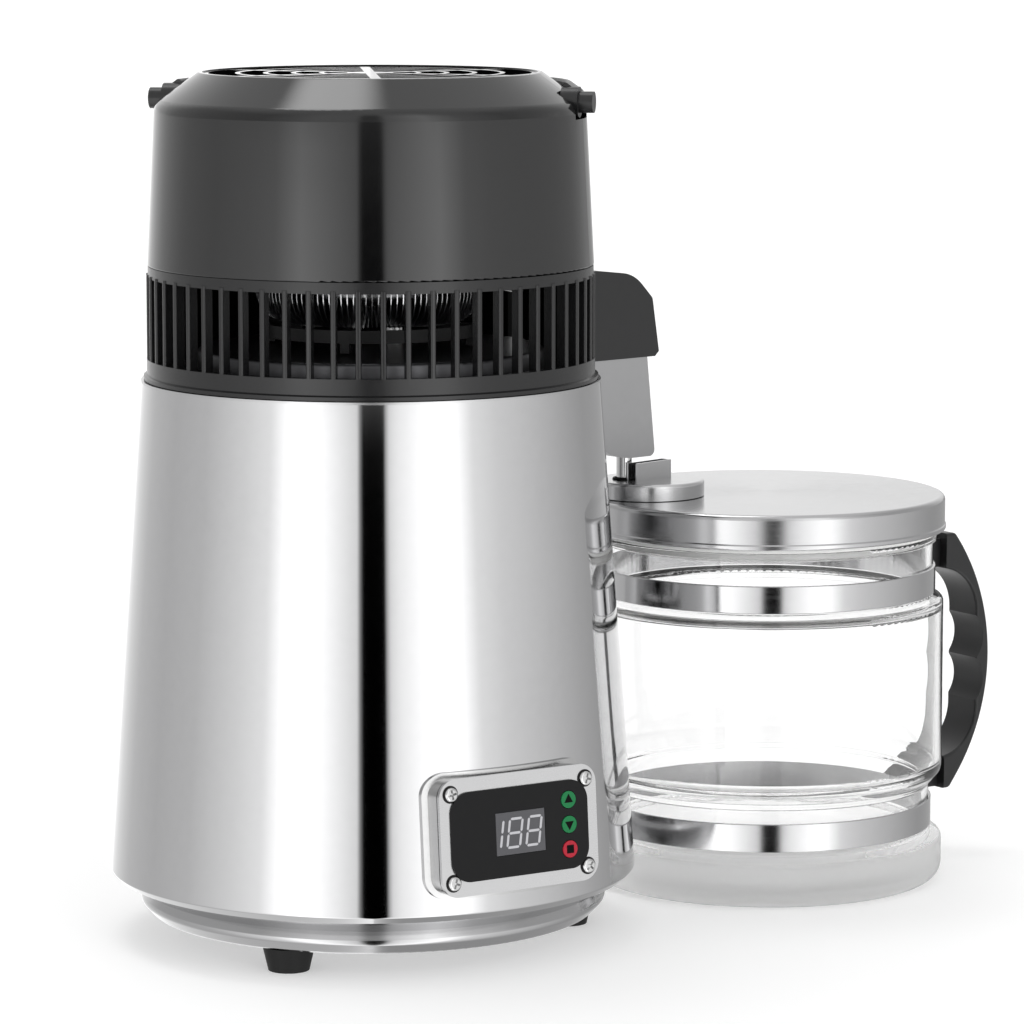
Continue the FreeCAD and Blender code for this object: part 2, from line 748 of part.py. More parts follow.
def make_panel(envelope):
    """Display housing, face plate, membrane, read-out, board and screws, all in the panel's own frame."""
    box = new_body("housing_box")
    for role, inset, depth in (("neck", "neck_inset", "0"), ("walls", "housing_inset", "neck_depth")):
        walls = sketch_on(box, "XY_Plane", "housing_" + role, lift=f"-plate_gauge - {depth}")
        rectangle(walls, f"panel_width - 2 * {inset}", f"panel_tall - 2 * {inset}",
                  corner_radius=f"panel_round - {inset}")
        pad(box, walls, f"housing_depth - {depth}", reverse=True)
    carve_well(box, "housing")
    holes = sketch_on(box, "XY_Plane", "housing_holes", lift="-plate_gauge")
    for across in (-1, 1):
        for up in (-1, 1):
            circle(holes, "screw_radius", f"{across} * screw_column", f"{up} * screw_row")
    pocket(box, holes, "screw_length")
    on_panel(box)
    rim = new_body("housing_rim")
    edge = sketch_on(rim, "XY_Plane", "rim_outline", lift="-plate_gauge")
    rectangle(edge, "panel_width + 2 * flange_outset", "panel_tall + 2 * flange_outset",
              corner_radius="panel_round + flange_outset")
    pad(rim, edge, "housing_depth", reverse=True)
    carve_well(rim, "rim")
    on_panel(rim)
    flange = document.addObject("Part::Common", "housing_flange")
    flange.Base = rim
    flange.Tool = make_cone("flange_envelope", "flange_rise")
    whole = document.addObject("Part::Fuse", "housing_blank")
    whole.Base = box
    whole.Tool = flange
    housing = document.addObject("Part::Cut", "display_housing")
    housing.Base = whole
    housing.Tool = envelope
    keep("display_housing", housing)

    plate = new_body("faceplate")
    face = sketch_on(plate, "XY_Plane", "plate_outline", lift="-plate_gauge")
    rectangle(face, "panel_width", "panel_tall", corner_radius="panel_round")
    pad(plate, face, "plate_gauge")
    openings = sketch_on(plate, "XY_Plane", "plate_openings")
    rectangle(openings, "window_width", "window_tall", "0", "-window_drop", "window_round")
    for row in (-1, 0, 1):
        circle(openings, "key_radius + running_gap", "key_column", f"{row} * key_pitch")
    for across in (-1, 1):
        for up in (-1, 1):
            circle(openings, "screw_radius", f"{across} * screw_column", f"{up} * screw_row")
    pocket(plate, openings, "plate_gauge + 1")
    on_panel(plate)
    keep("faceplate", plate)

    membrane = new_body("membrane")
    sheet_face = sketch_on(membrane, "XY_Plane", "membrane_outline")
    rectangle(sheet_face, "overlay_width", "overlay_tall", corner_radius="overlay_round")
    rectangle(sheet_face, "window_width", "window_tall", "0", "-window_drop", "window_round")
    for row in (-1, 0, 1):
        circle(sheet_face, "key_radius + running_gap", "key_column", f"{row} * key_pitch")
    pad(membrane, sheet_face, "overlay_gauge")
    on_panel(membrane)
    keep("membrane", membrane)

    module = new_body("display_module")
    block = sketch_on(module, "XY_Plane", "module_outline", lift="-board_depth")
    rectangle(block, "window_width - 2 * module_clearance", "window_tall - 2 * module_clearance",
              "0", "-window_drop")
    pad(module, block, "board_depth + module_rise")
    on_panel(module)
    keep("display_module", module)

    board = new_body("control_board")
    card = sketch_on(board, "XY_Plane", "board_outline", lift="-board_depth")
    rectangle(card, "overlay_width - 2 * overlay_margin", "overlay_tall - 2 * overlay_margin",
              corner_radius="overlay_round")
    pad(board, card, "board_gauge", reverse=True)
    switches = sketch_on(board, "XY_Plane", "switch_outline", lift="-board_depth")
    for row in (-1, 0, 1):
        circle(switches, "switch_radius", "key_column", f"{row} * key_pitch")
    switch_top = "overlay_gauge + key_rise - key_length - key_travel - module_clearance"
    pad(board, switches, f"board_depth + {switch_top}")
    on_panel(board)
    keep("control_board", board)

    screws = []
    for across in (-1, 1):
        for up in (-1, 1):
            screw = pan_screw(f"panel_screw_{len(screws)}")
            on_panel(screw, f"{across} * screw_column", f"{up} * screw_row")
            screws.append(screw)
    group("faceplate_screws", screws)


def make_keys():
    """Three round keys, one body each, that stand a little proud of the membrane."""
    for node, row in (("key_up", 1), ("key_down", 0), ("key_reset", -1)):
        body = new_body(node)
        face = sketch_on(body, "XY_Plane", node + "_face", lift="overlay_gauge + key_rise")
        circle(face, "key_radius")
        pad(body, face, "key_length", reverse=True)
        on_panel(body, "key_column", f"{row} * key_pitch")
        keep(node, body)


def segment(centre, length, upright):
    """One pointed bar of a numeral, flat on the display, in the panel's plane."""
    half = length / 2 - value("segment_gap")
    thick = value("segment_width") / 2
    points = [(half, 0), (half - thick, thick), (thick - half, thick),
              (-half, 0), (thick - half, -thick), (half - thick, -thick)]
    corners = []
    for along, across in points:
        x, y = (across, along) if upright else (along, across)
        height = centre[1] + y
        slanted = centre[0] + x + height * math.tan(math.radians(value("digit_slant")))
        corners.append(Vector(slanted, height - value("window_drop"), value("module_rise")))
    wire = Part.makePolygon(corners + corners[:1])
    return Part.Face(wire).extrude(Vector(0, 0, value("segment_relief")))


def make_numerals():
    """The lit bars of a three-figure read-out, 1 8 8."""
    width = value("digit_width")
    half_tall = value("digit_tall") / 2
    bars = []
    for index, whole in enumerate((False, True, True)):
        middle = value("digit_shift") + (index - 1.5) * value("digit_pitch")
        for side in (-1, 1):
            for end in (-1, 1):
                if whole or side > 0:
                    centre = (middle + side * width / 2, end * half_tall / 2)
                    bars.append(segment(centre, half_tall, True))
        if whole:
            for level in (-1, 0, 1):
                bars.append(segment((middle, level * half_tall), width, False))
    numerals = document.addObject("Part::Feature", "display_numerals")
    numerals.Shape = Part.makeCompound(bars)
    on_panel(numerals)
    keep("display_numerals", numerals)


def make_louvre_ring():
    """Ring of upright ribs between a lipped base and a top strip, opened behind the nozzle."""
    body = new_body("louvre_ring")
    inner = "louvre_radius - louvre_wall"
    base = sketch_on(body, "XZ_Plane", "louvre_base")
    outline(base, [
        ("louvre_floor_radius", HEAD_SEAT),
        ("louvre_radius + louvre_lip", HEAD_SEAT),
        ("louvre_radius + louvre_lip", f"{HEAD_SEAT} + louvre_lip_height"),
        ("louvre_radius", f"{HEAD_SEAT} + louvre_lip_height + 0.6"),
        ("louvre_radius", "slot_bottom_height"),
        (inner, "slot_bottom_height"),
        (inner, PAN_FLANGE),
        ("louvre_floor_radius", PAN_FLANGE),
    ])
    turn_about_axis(body, base)
    strip = sketch_on(body, "XZ_Plane", "louvre_strip")
    outline(strip, [
        (inner, "slot_top_height"),
        ("louvre_radius - strip_inset", "slot_top_height"),
        ("louvre_radius - strip_inset", "dome_bottom_height"),
        (inner, "dome_bottom_height"),
    ])
    turn_about_axis(body, strip)
    rib = sketch_on(body, "XY_Plane", "louvre_rib", lift="slot_bottom_height", turn="rib_phase")
    outline(rib, [
        (inner, "-rib_width / 2"),
        ("louvre_radius", "-rib_width / 2", "rib_width * 0.35"),
        ("louvre_radius", "rib_width / 2", "rib_width * 0.35"),
        (inner, "rib_width / 2"),
    ])
    bar = pad(body, rib, "slot_top_height - slot_bottom_height + rib_overlap")
    around(body, [bar], rib, "rib_count")
    window = sketch_on(body, "YZ_Plane", "louvre_nozzle_window", lift="louvre_floor_radius")
    low = "slot_bottom_height + rib_overlap"
    high = "slot_top_height - rib_overlap"
    half = "(cover_width / 2 - moulding_wall)"
    outline(window, [(f"-{half}", low), (half, low), (half, high), (f"-{half}", high)])
    pocket(body, window, "louvre_wall * 5", reverse=True)
    place(body, azimuth="nozzle_azimuth")
    return keep("louvre_ring", body)


def make_baffle():
    """Thin black wall that stands on the pan inside the far half of the ribs, open round the steam outlet."""
    foot = f"({PAN_FLANGE} + steel_gauge)"
    start = "(nozzle_azimuth - baffle_start)"
    outside = cylinder("baffle_blank", "baffle_radius + baffle_gauge", "baffle_tall", z=foot)
    bind(outside, "Angle", "baffle_arc")
    place(outside, z=foot, azimuth=start)
    inside = cylinder("baffle_inside", "baffle_radius", "baffle_tall", z=foot)
    gate = document.addObject("Part::Box", "baffle_gate")
    bind(gate, "Length", "baffle_radius")
    bind(gate, "Width", "baffle_gate_width")
    bind(gate, "Height", "baffle_gate_tall")
    place(gate, "baffle_gate_width / 2 * sin(nozzle_azimuth) + baffle_radius / 2 * cos(nozzle_azimuth)",
          "-baffle_gate_width / 2 * cos(nozzle_azimuth) + baffle_radius / 2 * sin(nozzle_azimuth)",
          foot, azimuth="nozzle_azimuth")
    cut = document.addObject("Part::MultiFuse", "baffle_cut")
    cut.Shapes = [inside, gate]
    baffle = document.addObject("Part::Cut", "air_baffle")
    baffle.Base = outside
    baffle.Tool = cut
    keep("air_baffle", baffle)


def make_head_shell():
    """Moulded dome with a conical shoulder, a ledge for the grille and two recesses for the handle's eyes."""
    body = new_body("head_shell")
    wall = sketch_on(body, "XZ_Plane", "dome_outline")
    corner_radius = dome_radius("dome_corner_height")
    outline(wall, [
        ("dome_radius", "dome_bottom_height", "0.8"),
        (corner_radius, "dome_corner_height", "dome_round"),
        ("crown_radius", MOUTH_HEIGHT, "1.5"),
        ("mouth_radius", MOUTH_HEIGHT),
        ("mouth_radius", LEDGE_HEIGHT),
        ("ledge_radius", LEDGE_HEIGHT),
        ("ledge_radius", FAN_TOP),
        ("crown_radius", FAN_TOP),
        (f"{corner_radius} - moulding_wall", "dome_corner_height - moulding_wall / 2", "dome_round - moulding_wall"),
        ("dome_radius - moulding_wall", "dome_bottom_height"),
    ])
    turn_about_axis(body, wall)
    boss_inner = "(bail_inner_radius - running_gap - moulding_wall)"
    boss_bottom = "(pivot_height - eye_radius - recess_margin - moulding_wall)"
    half = "(recess_half_width + moulding_wall)"
    boss = sketch_on(body, "XZ_Plane", "eye_boss", lift=f"-{half}")
    outline(boss, [
        (boss_inner, boss_bottom),
        (f"{dome_radius(boss_bottom)} - 1.6", boss_bottom),
        (f"{corner_radius} - 1.6", "dome_corner_height - 1.6"),
        (boss_inner, f"{shoulder_height(boss_inner)} - 1.6"),
    ])
    block = pad(body, boss, f"2 * {half}")
    ring = sketch_on(body, "XY_Plane", "boss_axis")
    circle(ring, "1")
    around(body, [block], ring, "2")
    recess = sketch_on(body, "XZ_Plane", "eye_recess", lift="-recess_half_width")
    outline(recess, [
        ("bail_inner_radius - running_gap", "pivot_height - eye_radius - recess_margin"),
        ("dome_radius + 5", "pivot_height - eye_radius - recess_margin"),
        ("dome_radius + 5", f"{MOUTH_HEIGHT} + 5"),
        ("bail_inner_radius - running_gap", f"{MOUTH_HEIGHT} + 5"),
    ])
    notch = pocket(body, recess, "2 * recess_half_width", reverse=True)
    around(body, [notch], ring, "2")
    bore = sketch_on(body, "YZ_Plane", "peg_bore", lift=f"{boss_inner} - 2")
    circle(bore, "peg_radius", "0", "pivot_height")
    seat = pocket(body, bore, "moulding_wall + 4", reverse=True)
    around(body, [seat], ring, "2")
    place(body, azimuth="pivot_azimuth")
    return body


def make_fan_inlet(shell):
    """Two-pin inlet block for the fan's lead, let into the back of the head shell."""
    opening = document.addObject("Part::Box", "fan_inlet_opening")
    block = document.addObject("Part::Box", "fan_inlet_block")
    for thing in (opening, block):
        bind(thing, "Length", "fan_inlet_width")
        bind(thing, "Width", "fan_inlet_depth")
        bind(thing, "Height", "fan_inlet_tall")
        place(thing, "-fan_inlet_width / 2", "fan_inlet_reach - fan_inlet_depth",
              "fan_inlet_height - fan_inlet_tall / 2")
    dome = document.addObject("Part::Cut", "head_shell_cut")
    dome.Base = shell
    dome.Tool = opening
    keep("head_shell", dome)
    body = new_body("fan_inlet_well")
    well = sketch_on(body, "XZ_Plane", "fan_well", lift="-fan_inlet_reach")
    rectangle(well, "fan_socket_width", "fan_socket_tall", "0", "fan_inlet_height", "fan_socket_tall * 0.48")
    pad(body, well, "fan_socket_depth")
    carved = document.addObject("Part::Cut", "fan_inlet_carved")
    carved.Base = block
    carved.Tool = body
    pins = []
    for side in (-1, 1):
        pin = document.addObject("Part::Cylinder", f"fan_pin_{1 + (side + 1) // 2}")
        bind(pin, "Radius", "fan_pin_radius")
        bind(pin, "Height", "fan_pin_length")
        pin.Placement = Placement(Vector(), Rotation(Vector(1, 0, 0), -90))
        bind(pin, "Placement.Base.x", f"{side} * fan_pin_pitch / 2")
        bind(pin, "Placement.Base.y", "fan_inlet_reach - fan_socket_depth")
        bind(pin, "Placement.Base.z", "fan_inlet_height")
        pins.append(pin)
    socket = document.addObject("Part::MultiFuse", "fan_inlet")
    socket.Shapes = [carved] + pins
    keep("fan_inlet", socket)


def make_grille():
    """Concentric rings joined by six spokes and a hub, let in flush with the mouth."""
    body = new_body("fan_grille")
    rings = sketch_on(body, "XY_Plane", "grille_rings", lift=LEDGE_HEIGHT)
    circle(rings, "mouth_radius")
    circle(rings, "mouth_radius - grille_rim")
    for index in range(1, 5):
        middle = f"grille_hub_radius + {index} * grille_pitch + {2.0 * index - 1.0}"
        circle(rings, f"{middle} + grille_ring_width / 2")
        circle(rings, f"{middle} - grille_ring_width / 2")
    circle(rings, "grille_hub_radius")
    pad(body, rings, "grille_gauge")
    spoke = sketch_on(body, "XY_Plane", "grille_spoke", lift=LEDGE_HEIGHT)
    half = "grille_spoke_width / 2"
    outer = "mouth_radius - grille_rim / 2"
    outline(spoke, [("0", f"-{half}"), (outer, f"-{half}"), (outer, half), ("0", half)])
    bar = pad(body, spoke, "grille_gauge")
    around(body, [bar], spoke, "grille_spoke_count")
    place(body, azimuth="grille_spoke_azimuth")
    return keep("fan_grille", body)


def make_fan():
    """Fan frame with its struts, motor on the frame's hub, and bladed rotor on the motor's shaft."""
    frame = new_body("fan_frame")
    fan_bottom = f"({FAN_TOP} - fan_depth)"
    ring = sketch_on(frame, "XZ_Plane", "fan_frame_ring")
    outline(ring, [
        ("fan_bore_radius", fan_bottom),
        ("fan_frame_radius", fan_bottom),
        ("fan_frame_radius", f"{FAN_TOP} - fan_flange_gauge"),
        ("fan_flange_radius", f"{FAN_TOP} - fan_flange_gauge"),
        ("fan_flange_radius", FAN_TOP),
        ("fan_bore_radius", FAN_TOP),
    ])
    turn_about_axis(frame, ring)
    hub = sketch_on(frame, "XY_Plane", "fan_hub", lift=MOTOR_TOP)
    circle(hub, "motor_radius + 1.5")
    pad(frame, hub, "fan_hub_gauge")
    strut = sketch_on(frame, "XY_Plane", "fan_strut", lift=MOTOR_TOP)
    half = "fan_strut_width / 2"
    outer = "(fan_bore_radius + fan_frame_radius) / 2"
    outline(strut, [("0", f"-{half}"), (outer, f"-{half}"), (outer, half), ("0", half)])
    bar = pad(frame, strut, "fan_hub_gauge")
    around(frame, [bar], strut, "fan_strut_count")
    keep("fan_frame", frame)

    rotor_bottom = f"({MOTOR_TOP} - motor_length - rotor_cup_gap - rotor_floor)"
    turned("fan_motor", [
        ("0", f"{rotor_bottom} - 1"),
        ("shaft_radius", f"{rotor_bottom} - 1"),
        ("shaft_radius", f"{MOTOR_TOP} - motor_length"),
        ("motor_radius", f"{MOTOR_TOP} - motor_length", "1.5"),
        ("motor_radius", MOTOR_TOP),
        ("0", MOTOR_TOP),
    ])

    rotor = new_body("fan_rotor")
    cup = sketch_on(rotor, "XZ_Plane", "rotor_cup")
    cup_top = f"({rotor_bottom} + rotor_cup_depth)"
    cup_inner = "motor_radius + rotor_cup_gap"
    outline(cup, [
        ("shaft_radius + shaft_fit", rotor_bottom),
        ("rotor_cup_radius", rotor_bottom, "2"),
        ("rotor_cup_radius", cup_top),
        (cup_inner, cup_top),
        (cup_inner, f"{rotor_bottom} + rotor_floor"),
        ("shaft_radius + shaft_fit", f"{rotor_bottom} + rotor_floor"),
    ])
    turn_about_axis(rotor, cup)
    sections = []
    middle = f"({rotor_bottom} + rotor_cup_depth / 2)"
    stations = (
        ("root", "rotor_cup_radius - 1", "blade_root_pitch"),
        ("tip", "fan_bore_radius - blade_tip_gap", "blade_tip_pitch"),
    )
    for name, radius, pitch in stations:
        section = sketch_on(rotor, "YZ_Plane", "blade_" + name, lift=radius)
        corners = []
        for along, across in ((-1, -1), (1, -1), (1, 1), (-1, 1)):
            reach = f"{along} * blade_chord / 2"
            thick = f"{across} * blade_gauge / 2"
            corners.append((
                f"({reach}) * cos({pitch}) - ({thick}) * sin({pitch})",
                f"{middle} + ({reach}) * sin({pitch}) + ({thick}) * cos({pitch})",
            ))
        outline(section, corners)
        sections.append(section)
    blade = rotor.newObject("PartDesign::AdditiveLoft", "blade")
    blade.Profile = sections[0]
    blade.Sections = [sections[1]]
    axis = sketch_on(rotor, "XY_Plane", "rotor_axis")
    circle(axis, "1")
    around(rotor, [blade], axis, "blade_count")
    keep("fan_rotor", rotor)


def make_pan_and_gasket(steam_x, steam_y):
    """Steel pan that closes the head above the boiler, and the silicone ring under it."""
    body = new_body("base_pan")
    section = sketch_on(body, "XZ_Plane", "pan_outline")
    outline(section, [
        ("pan_radius", PAN_FLANGE),
        ("pan_radius", f"{PAN_FLANGE} + steel_gauge"),
        ("pan_step_radius + steel_gauge", f"{PAN_FLANGE} + steel_gauge"),
        ("pan_step_radius", "pan_step_height", "2"),
        ("0", "pan_top_height"),
        ("0", "pan_top_height - steel_gauge"),
        ("pan_step_radius - steel_gauge", "pan_step_height - steel_gauge", "1"),
        ("pan_step_radius", PAN_FLANGE),
    ])
    turn_about_axis(body, section)
    hole = sketch_on(body, "XY_Plane", "steam_hole")
    centre = Vector(steam_x, steam_y, 0)
    ring = hole.addGeometry(Part.Circle(centre, Vector(0, 0, 1), value("coil_tube_radius")))
    bind(hole, f"Constraints[{hole.addConstraint(Sketcher.Constraint('Radius', ring, 4.75))}]",
         "coil_tube_radius")
    hole.addConstraint(Sketcher.Constraint("DistanceX", -1, 1, ring, 3, steam_x))
    hole.addConstraint(Sketcher.Constraint("DistanceY", -1, 1, ring, 3, steam_y))
    pocket(body, hole, "pan_top_height + 20", reverse=True)
    keep("base_pan", body)
    outer = "(chamber_radius - steel_gauge - running_gap)"
    turned("boiler_gasket", [
        (f"{outer} - gasket_width", HEAD_SEAT),
        (f"{outer} - gasket_width", f"{HEAD_SEAT} - gasket_depth", "2"),
        (f"{outer} - 1", f"{HEAD_SEAT} - gasket_depth", "2"),
        (f"{outer} - 1", f"{HEAD_SEAT} - gasket_depth / 2"),
        (outer, f"{HEAD_SEAT} - gasket_depth / 2"),
        (outer, HEAD_SEAT),
    ])


def biarc(start, heading, end, ending):
    """Two arcs in space that leave start along heading and reach end along ending."""
    span = end - start
    total = heading + ending
    spread = 2 * (1 - heading.dot(ending))
    along = span.dot(total)
    if spread < 1e-9:
        reach = span.dot(span) / (4 * span.dot(ending))
    else:
        reach = (-along + math.sqrt(along * along + spread * span.dot(span))) / spread
    joint = (start + heading * reach + end - ending * reach) * 0.5
    edges = []
    for first, direction, last in ((start, heading, joint), (end, ending * -1, joint)):
        chord = last - first
        if chord.cross(direction).Length < 1e-6 * chord.Length:
            edges.append(Part.LineSegment(first, last).toShape())
        else:
            normal = direction.cross(chord).normalize()
            inward = normal.cross(direction).normalize()
            radius = chord.dot(chord) / (2 * chord.dot(inward))
            centre = first + inward * radius
            bisector = ((first + last) * 0.5 - centre).normalize()
            middle = centre + bisector * abs(radius)
            edges.append(Part.Arc(first, middle, last).toShape())
    return edges


def polar(radius, azimuth, height):
    """A point by radius, azimuth in degrees and height."""
    angle = math.radians(azimuth)
    return Vector(radius * math.cos(angle), radius * math.sin(angle), height)


def along_circle(azimuth):
    """Unit heading along a circle in the direction of falling azimuth."""
    angle = math.radians(azimuth)
    return Vector(math.sin(angle), -math.cos(angle), 0)


def coil_stations():
    """Points and headings of the steam path: riser, upper turn, climb, lower turn and outlet."""
    radius = value("coil_radius")
    low = value("coil_low_height")
    high = low + value("coil_level_pitch")
    nozzle = value("nozzle_azimuth")
    bend = value("outlet_bend")
    exit_turn = math.degrees(math.asin(bend / (radius + bend)))
    last = nozzle + exit_turn
    flat = 300
    riser = value("riser_bend")
    sweep = value("riser_sweep")
    top_azimuth = last + 720 - (360 - flat)
    top = polar(radius, top_azimuth, high)
    outward = polar(1, top_azimuth, 0)
    elbow = polar(radius - sweep, top_azimuth, high) - along_circle(top_azimuth) * sweep
    foot = elbow - outward * riser
    stations = [
        (Vector(foot.x, foot.y, value("pan_top_height")), Vector(0, 0, 1)),
        (Vector(foot.x, foot.y, high - riser), Vector(0, 0, 1)),
        (elbow, outward),
        (top, along_circle(top_azimuth)),
    ]
    for step in (100, 200, 300):
        stations.append((polar(radius, top_azimuth - step, high), along_circle(top_azimuth - step)))
    lower_start = top_azimuth - 360
    for step in (0, 100, 200, 300):
        stations.append((polar(radius, lower_start - step, low), along_circle(lower_start - step)))
    straight = polar(math.sqrt((radius + bend) ** 2 - bend ** 2), nozzle, low)
    outward = polar(1, nozzle, 0)
    stations.append((straight, outward))
    slope = math.radians(value("outlet_slope"))
    reach = value("spout_reach")
    outlet = value("outlet_height")
    sloping = polar(reach - bend * (1 - math.sin(slope)), nozzle, outlet + bend * math.cos(slope))
    stations.append((sloping, outward * math.cos(slope) - Vector(0, 0, math.sin(slope))))
    stations.append((polar(reach, nozzle, outlet), Vector(0, 0, -1)))
    return stations


def make_condenser():
    """Steel steam tube through two turns, its fins, and the cradle that carries it."""
    stations = coil_stations()
    edges = []
    for (start, heading), (end, ending) in zip(stations, stations[1:]):
        edges.extend(biarc(start, heading, end, ending))
    path = Part.Wire(edges)
    radius = value("coil_tube_radius")
    start, heading = stations[0]
    section = Part.Wire([Part.Circle(start, heading, radius).toShape()])
    tube_shape = path.makePipeShell([section], True, False)
    tube = document.addObject("Part::Feature", "condenser_tube")
    tube.Shape = tube_shape
    keep("condenser_tube", tube)

    fins = []
    thick = value("fin_gauge")
    for level in (value("coil_low_height"), value("coil_low_height") + value("coil_level_pitch")):
        first = stations[10][0]
        start_azimuth = math.degrees(math.atan2(first.y, first.x)) + 14
        step = math.degrees(value("fin_pitch") / value("coil_radius"))
        count = int((300 - 28) / step) + 1
        for index in range(count):
            azimuth = start_azimuth + index * step
            centre = polar(value("coil_radius"), azimuth, level)
            direction = along_circle(azimuth)
            base = centre - direction * (thick / 2)
            disc = Part.makeCylinder(value("fin_radius"), thick, base, direction)
            bore = Part.makeCylinder(radius, thick * 3, centre - direction * (thick * 1.5), direction)
            fins.append(disc.cut(bore))
    stack = document.addObject("Part::Feature", "condenser_fins")
    stack.Shape = Part.makeCompound(fins)
    keep("condenser_fins", stack)

    points = path.discretize(Number=240)
    spacing = path.Length / 239
    apart = int(6 * radius / spacing)
    least = min((points[i] - points[j]).Length for i in range(240) for j in range(i + apart, 240))
    print(f"condenser tube: length {path.Length:.1f}, least gap to itself {least - 2 * radius:.2f}")

    cradle = new_body("coil_cradle")
    cradle_top = "(coil_low_height - fin_radius)"
    ring = sketch_on(cradle, "XZ_Plane", "cradle_ring")
    outline(ring, [
        ("cradle_radius - cradle_gauge", f"{cradle_top} - cradle_height"),
        ("cradle_radius", f"{cradle_top} - cradle_height"),
        ("cradle_radius", cradle_top),
        ("cradle_radius - cradle_gauge", cradle_top),
    ])
    turn_about_axis(cradle, ring)
    arm = sketch_on(cradle, "XY_Plane", "cradle_arm", lift=f"{cradle_top} - cradle_height")
    half = "cradle_arm_width / 2"
    outline(arm, [
        ("cradle_arm_inner", f"-{half}"),
        ("cradle_radius - cradle_gauge / 2", f"-{half}"),
        ("cradle_radius - cradle_gauge / 2", half),
        ("cradle_arm_inner", half),
    ])
    bar = pad(cradle, arm, "cradle_height")
    leg = sketch_on(cradle, "XY_Plane", "cradle_leg", lift="pan_top_height")
    outline(leg, [
        ("cradle_radius - 5", f"-{half}"),
        ("cradle_radius", f"-{half}"),
        ("cradle_radius", half),
        ("cradle_radius - 5", half),
    ])
    post = pad(cradle, leg, f"{cradle_top} - cradle_height / 2 - pan_top_height")
    around(cradle, [bar, post], arm, "4")
    place(cradle, azimuth="45")
    keep("coil_cradle", cradle)
    return stations[0][0]


def make_nozzle():
    """Moulded cover over the outlet, steel duct below it, and the spout tube in the duct."""
    body = new_body("cover_block")
    wall = "moulding_wall"
    block = sketch_on(body, "XZ_Plane", "cover_outline", lift="-cover_width / 2")
    outline(block, [
        ("louvre_radius - louvre_wall", "cover_heel_height"),
        ("cover_heel_radius", "cover_heel_height"),
        ("cover_heel_radius", "cover_bottom_height"),
        ("cover_reach - 2.4", "cover_bottom_height"),
        ("cover_reach", "cover_bottom_height + 2.2"),
        ("cover_shoulder_radius", "cover_shoulder_height", "3"),
        ("cover_bend_radius", "cover_bend_height", "cover_round"),
        ("louvre_radius - louvre_wall", "cover_inner_top"),
    ])
    pad(body, block, "cover_width")
    hollow = sketch_on(body, "XZ_Plane", "cover_hollow", lift=f"-cover_width / 2 + {wall}")
    outline(hollow, [
        ("louvre_radius - louvre_wall - 2", f"cover_heel_height + {wall}"),
        (f"cover_heel_radius + {wall}", f"cover_heel_height + {wall}"),
        (f"cover_heel_radius + {wall}", f"cover_bottom_height + {wall}"),
        (f"cover_reach - {wall} * 1.2", f"cover_bottom_height + {wall}"),
        (f"cover_shoulder_radius - {wall} * 1.1", f"cover_shoulder_height - {wall} / 2"),
        (f"cover_bend_radius - {wall} / 2", f"cover_bend_height - {wall}"),
        ("louvre_radius - louvre_wall - 2", f"cover_inner_top - {wall}"),
    ])
    pocket(body, hollow, f"cover_width - 2 * {wall}", reverse=True)
    hole = sketch_on(body, "XY_Plane", "cover_hole", lift="cover_bottom_height - 1")
    circle(hole, "spout_radius", "spout_reach")
    pocket(body, hole, f"{wall} + 2", reverse=True)
    place(body, azimuth="nozzle_azimuth")
    ring = cylinder("louvre_envelope", "louvre_radius", "100", z="cover_bottom_height - 10")
    cover = document.addObject("Part::Cut", "nozzle_cover")
    cover.Base = body
    cover.Tool = ring
    keep("nozzle_cover", cover)

    duct = new_body("nozzle_duct")
    top_inner = f"({shell_radius('cover_bottom_height')} + duct_shell_gap)"
    bottom_inner = f"({shell_radius('duct_bottom_height')} + duct_shell_gap)"
    box = sketch_on(duct, "XZ_Plane", "duct_outline", lift="-duct_width / 2")
    outline(box, [
        (top_inner, "cover_bottom_height"),
        (bottom_inner, "duct_bottom_height", "duct_inner_round"),
        ("duct_reach", "duct_bottom_height", "duct_outer_round"),
        ("duct_top_reach", "cover_bottom_height"),
    ])
    pad(duct, box, "duct_width")
    inside = sketch_on(duct, "XZ_Plane", "duct_hollow", lift="-duct_width / 2 + steel_gauge")
    outline(inside, [
        (f"{top_inner} + steel_gauge", "cover_bottom_height + 1"),
        (f"{bottom_inner} + steel_gauge", "duct_bottom_height + steel_gauge", "duct_inner_round - steel_gauge"),
        ("duct_reach - steel_gauge", "duct_bottom_height + steel_gauge", "duct_outer_round - steel_gauge"),
        ("duct_top_reach - steel_gauge", "cover_bottom_height + 1"),
    ])
    pocket(duct, inside, "duct_width - 2 * steel_gauge", reverse=True)
    spout_hole = sketch_on(duct, "XY_Plane", "duct_hole", lift="duct_bottom_height - 1")
    circle(spout_hole, "spout_radius", "spout_reach")
    pocket(duct, spout_hole, "steel_gauge + 2", reverse=True)
    place(duct, azimuth="nozzle_azimuth")
    keep("nozzle_duct", duct)

    spout = new_body("spout_tube")
    bottom = "(cap_top_height + running_gap)"
    section = sketch_on(spout, "XY_Plane", "spout_section", lift=bottom)
    circle(section, "spout_radius")
    circle(section, "spout_bore_radius")
    pad(spout, section, f"outlet_height - {bottom}")
    place(spout, "spout_reach * cos(nozzle_azimuth)", "spout_reach * sin(nozzle_azimuth)")
    keep("spout_tube", spout)


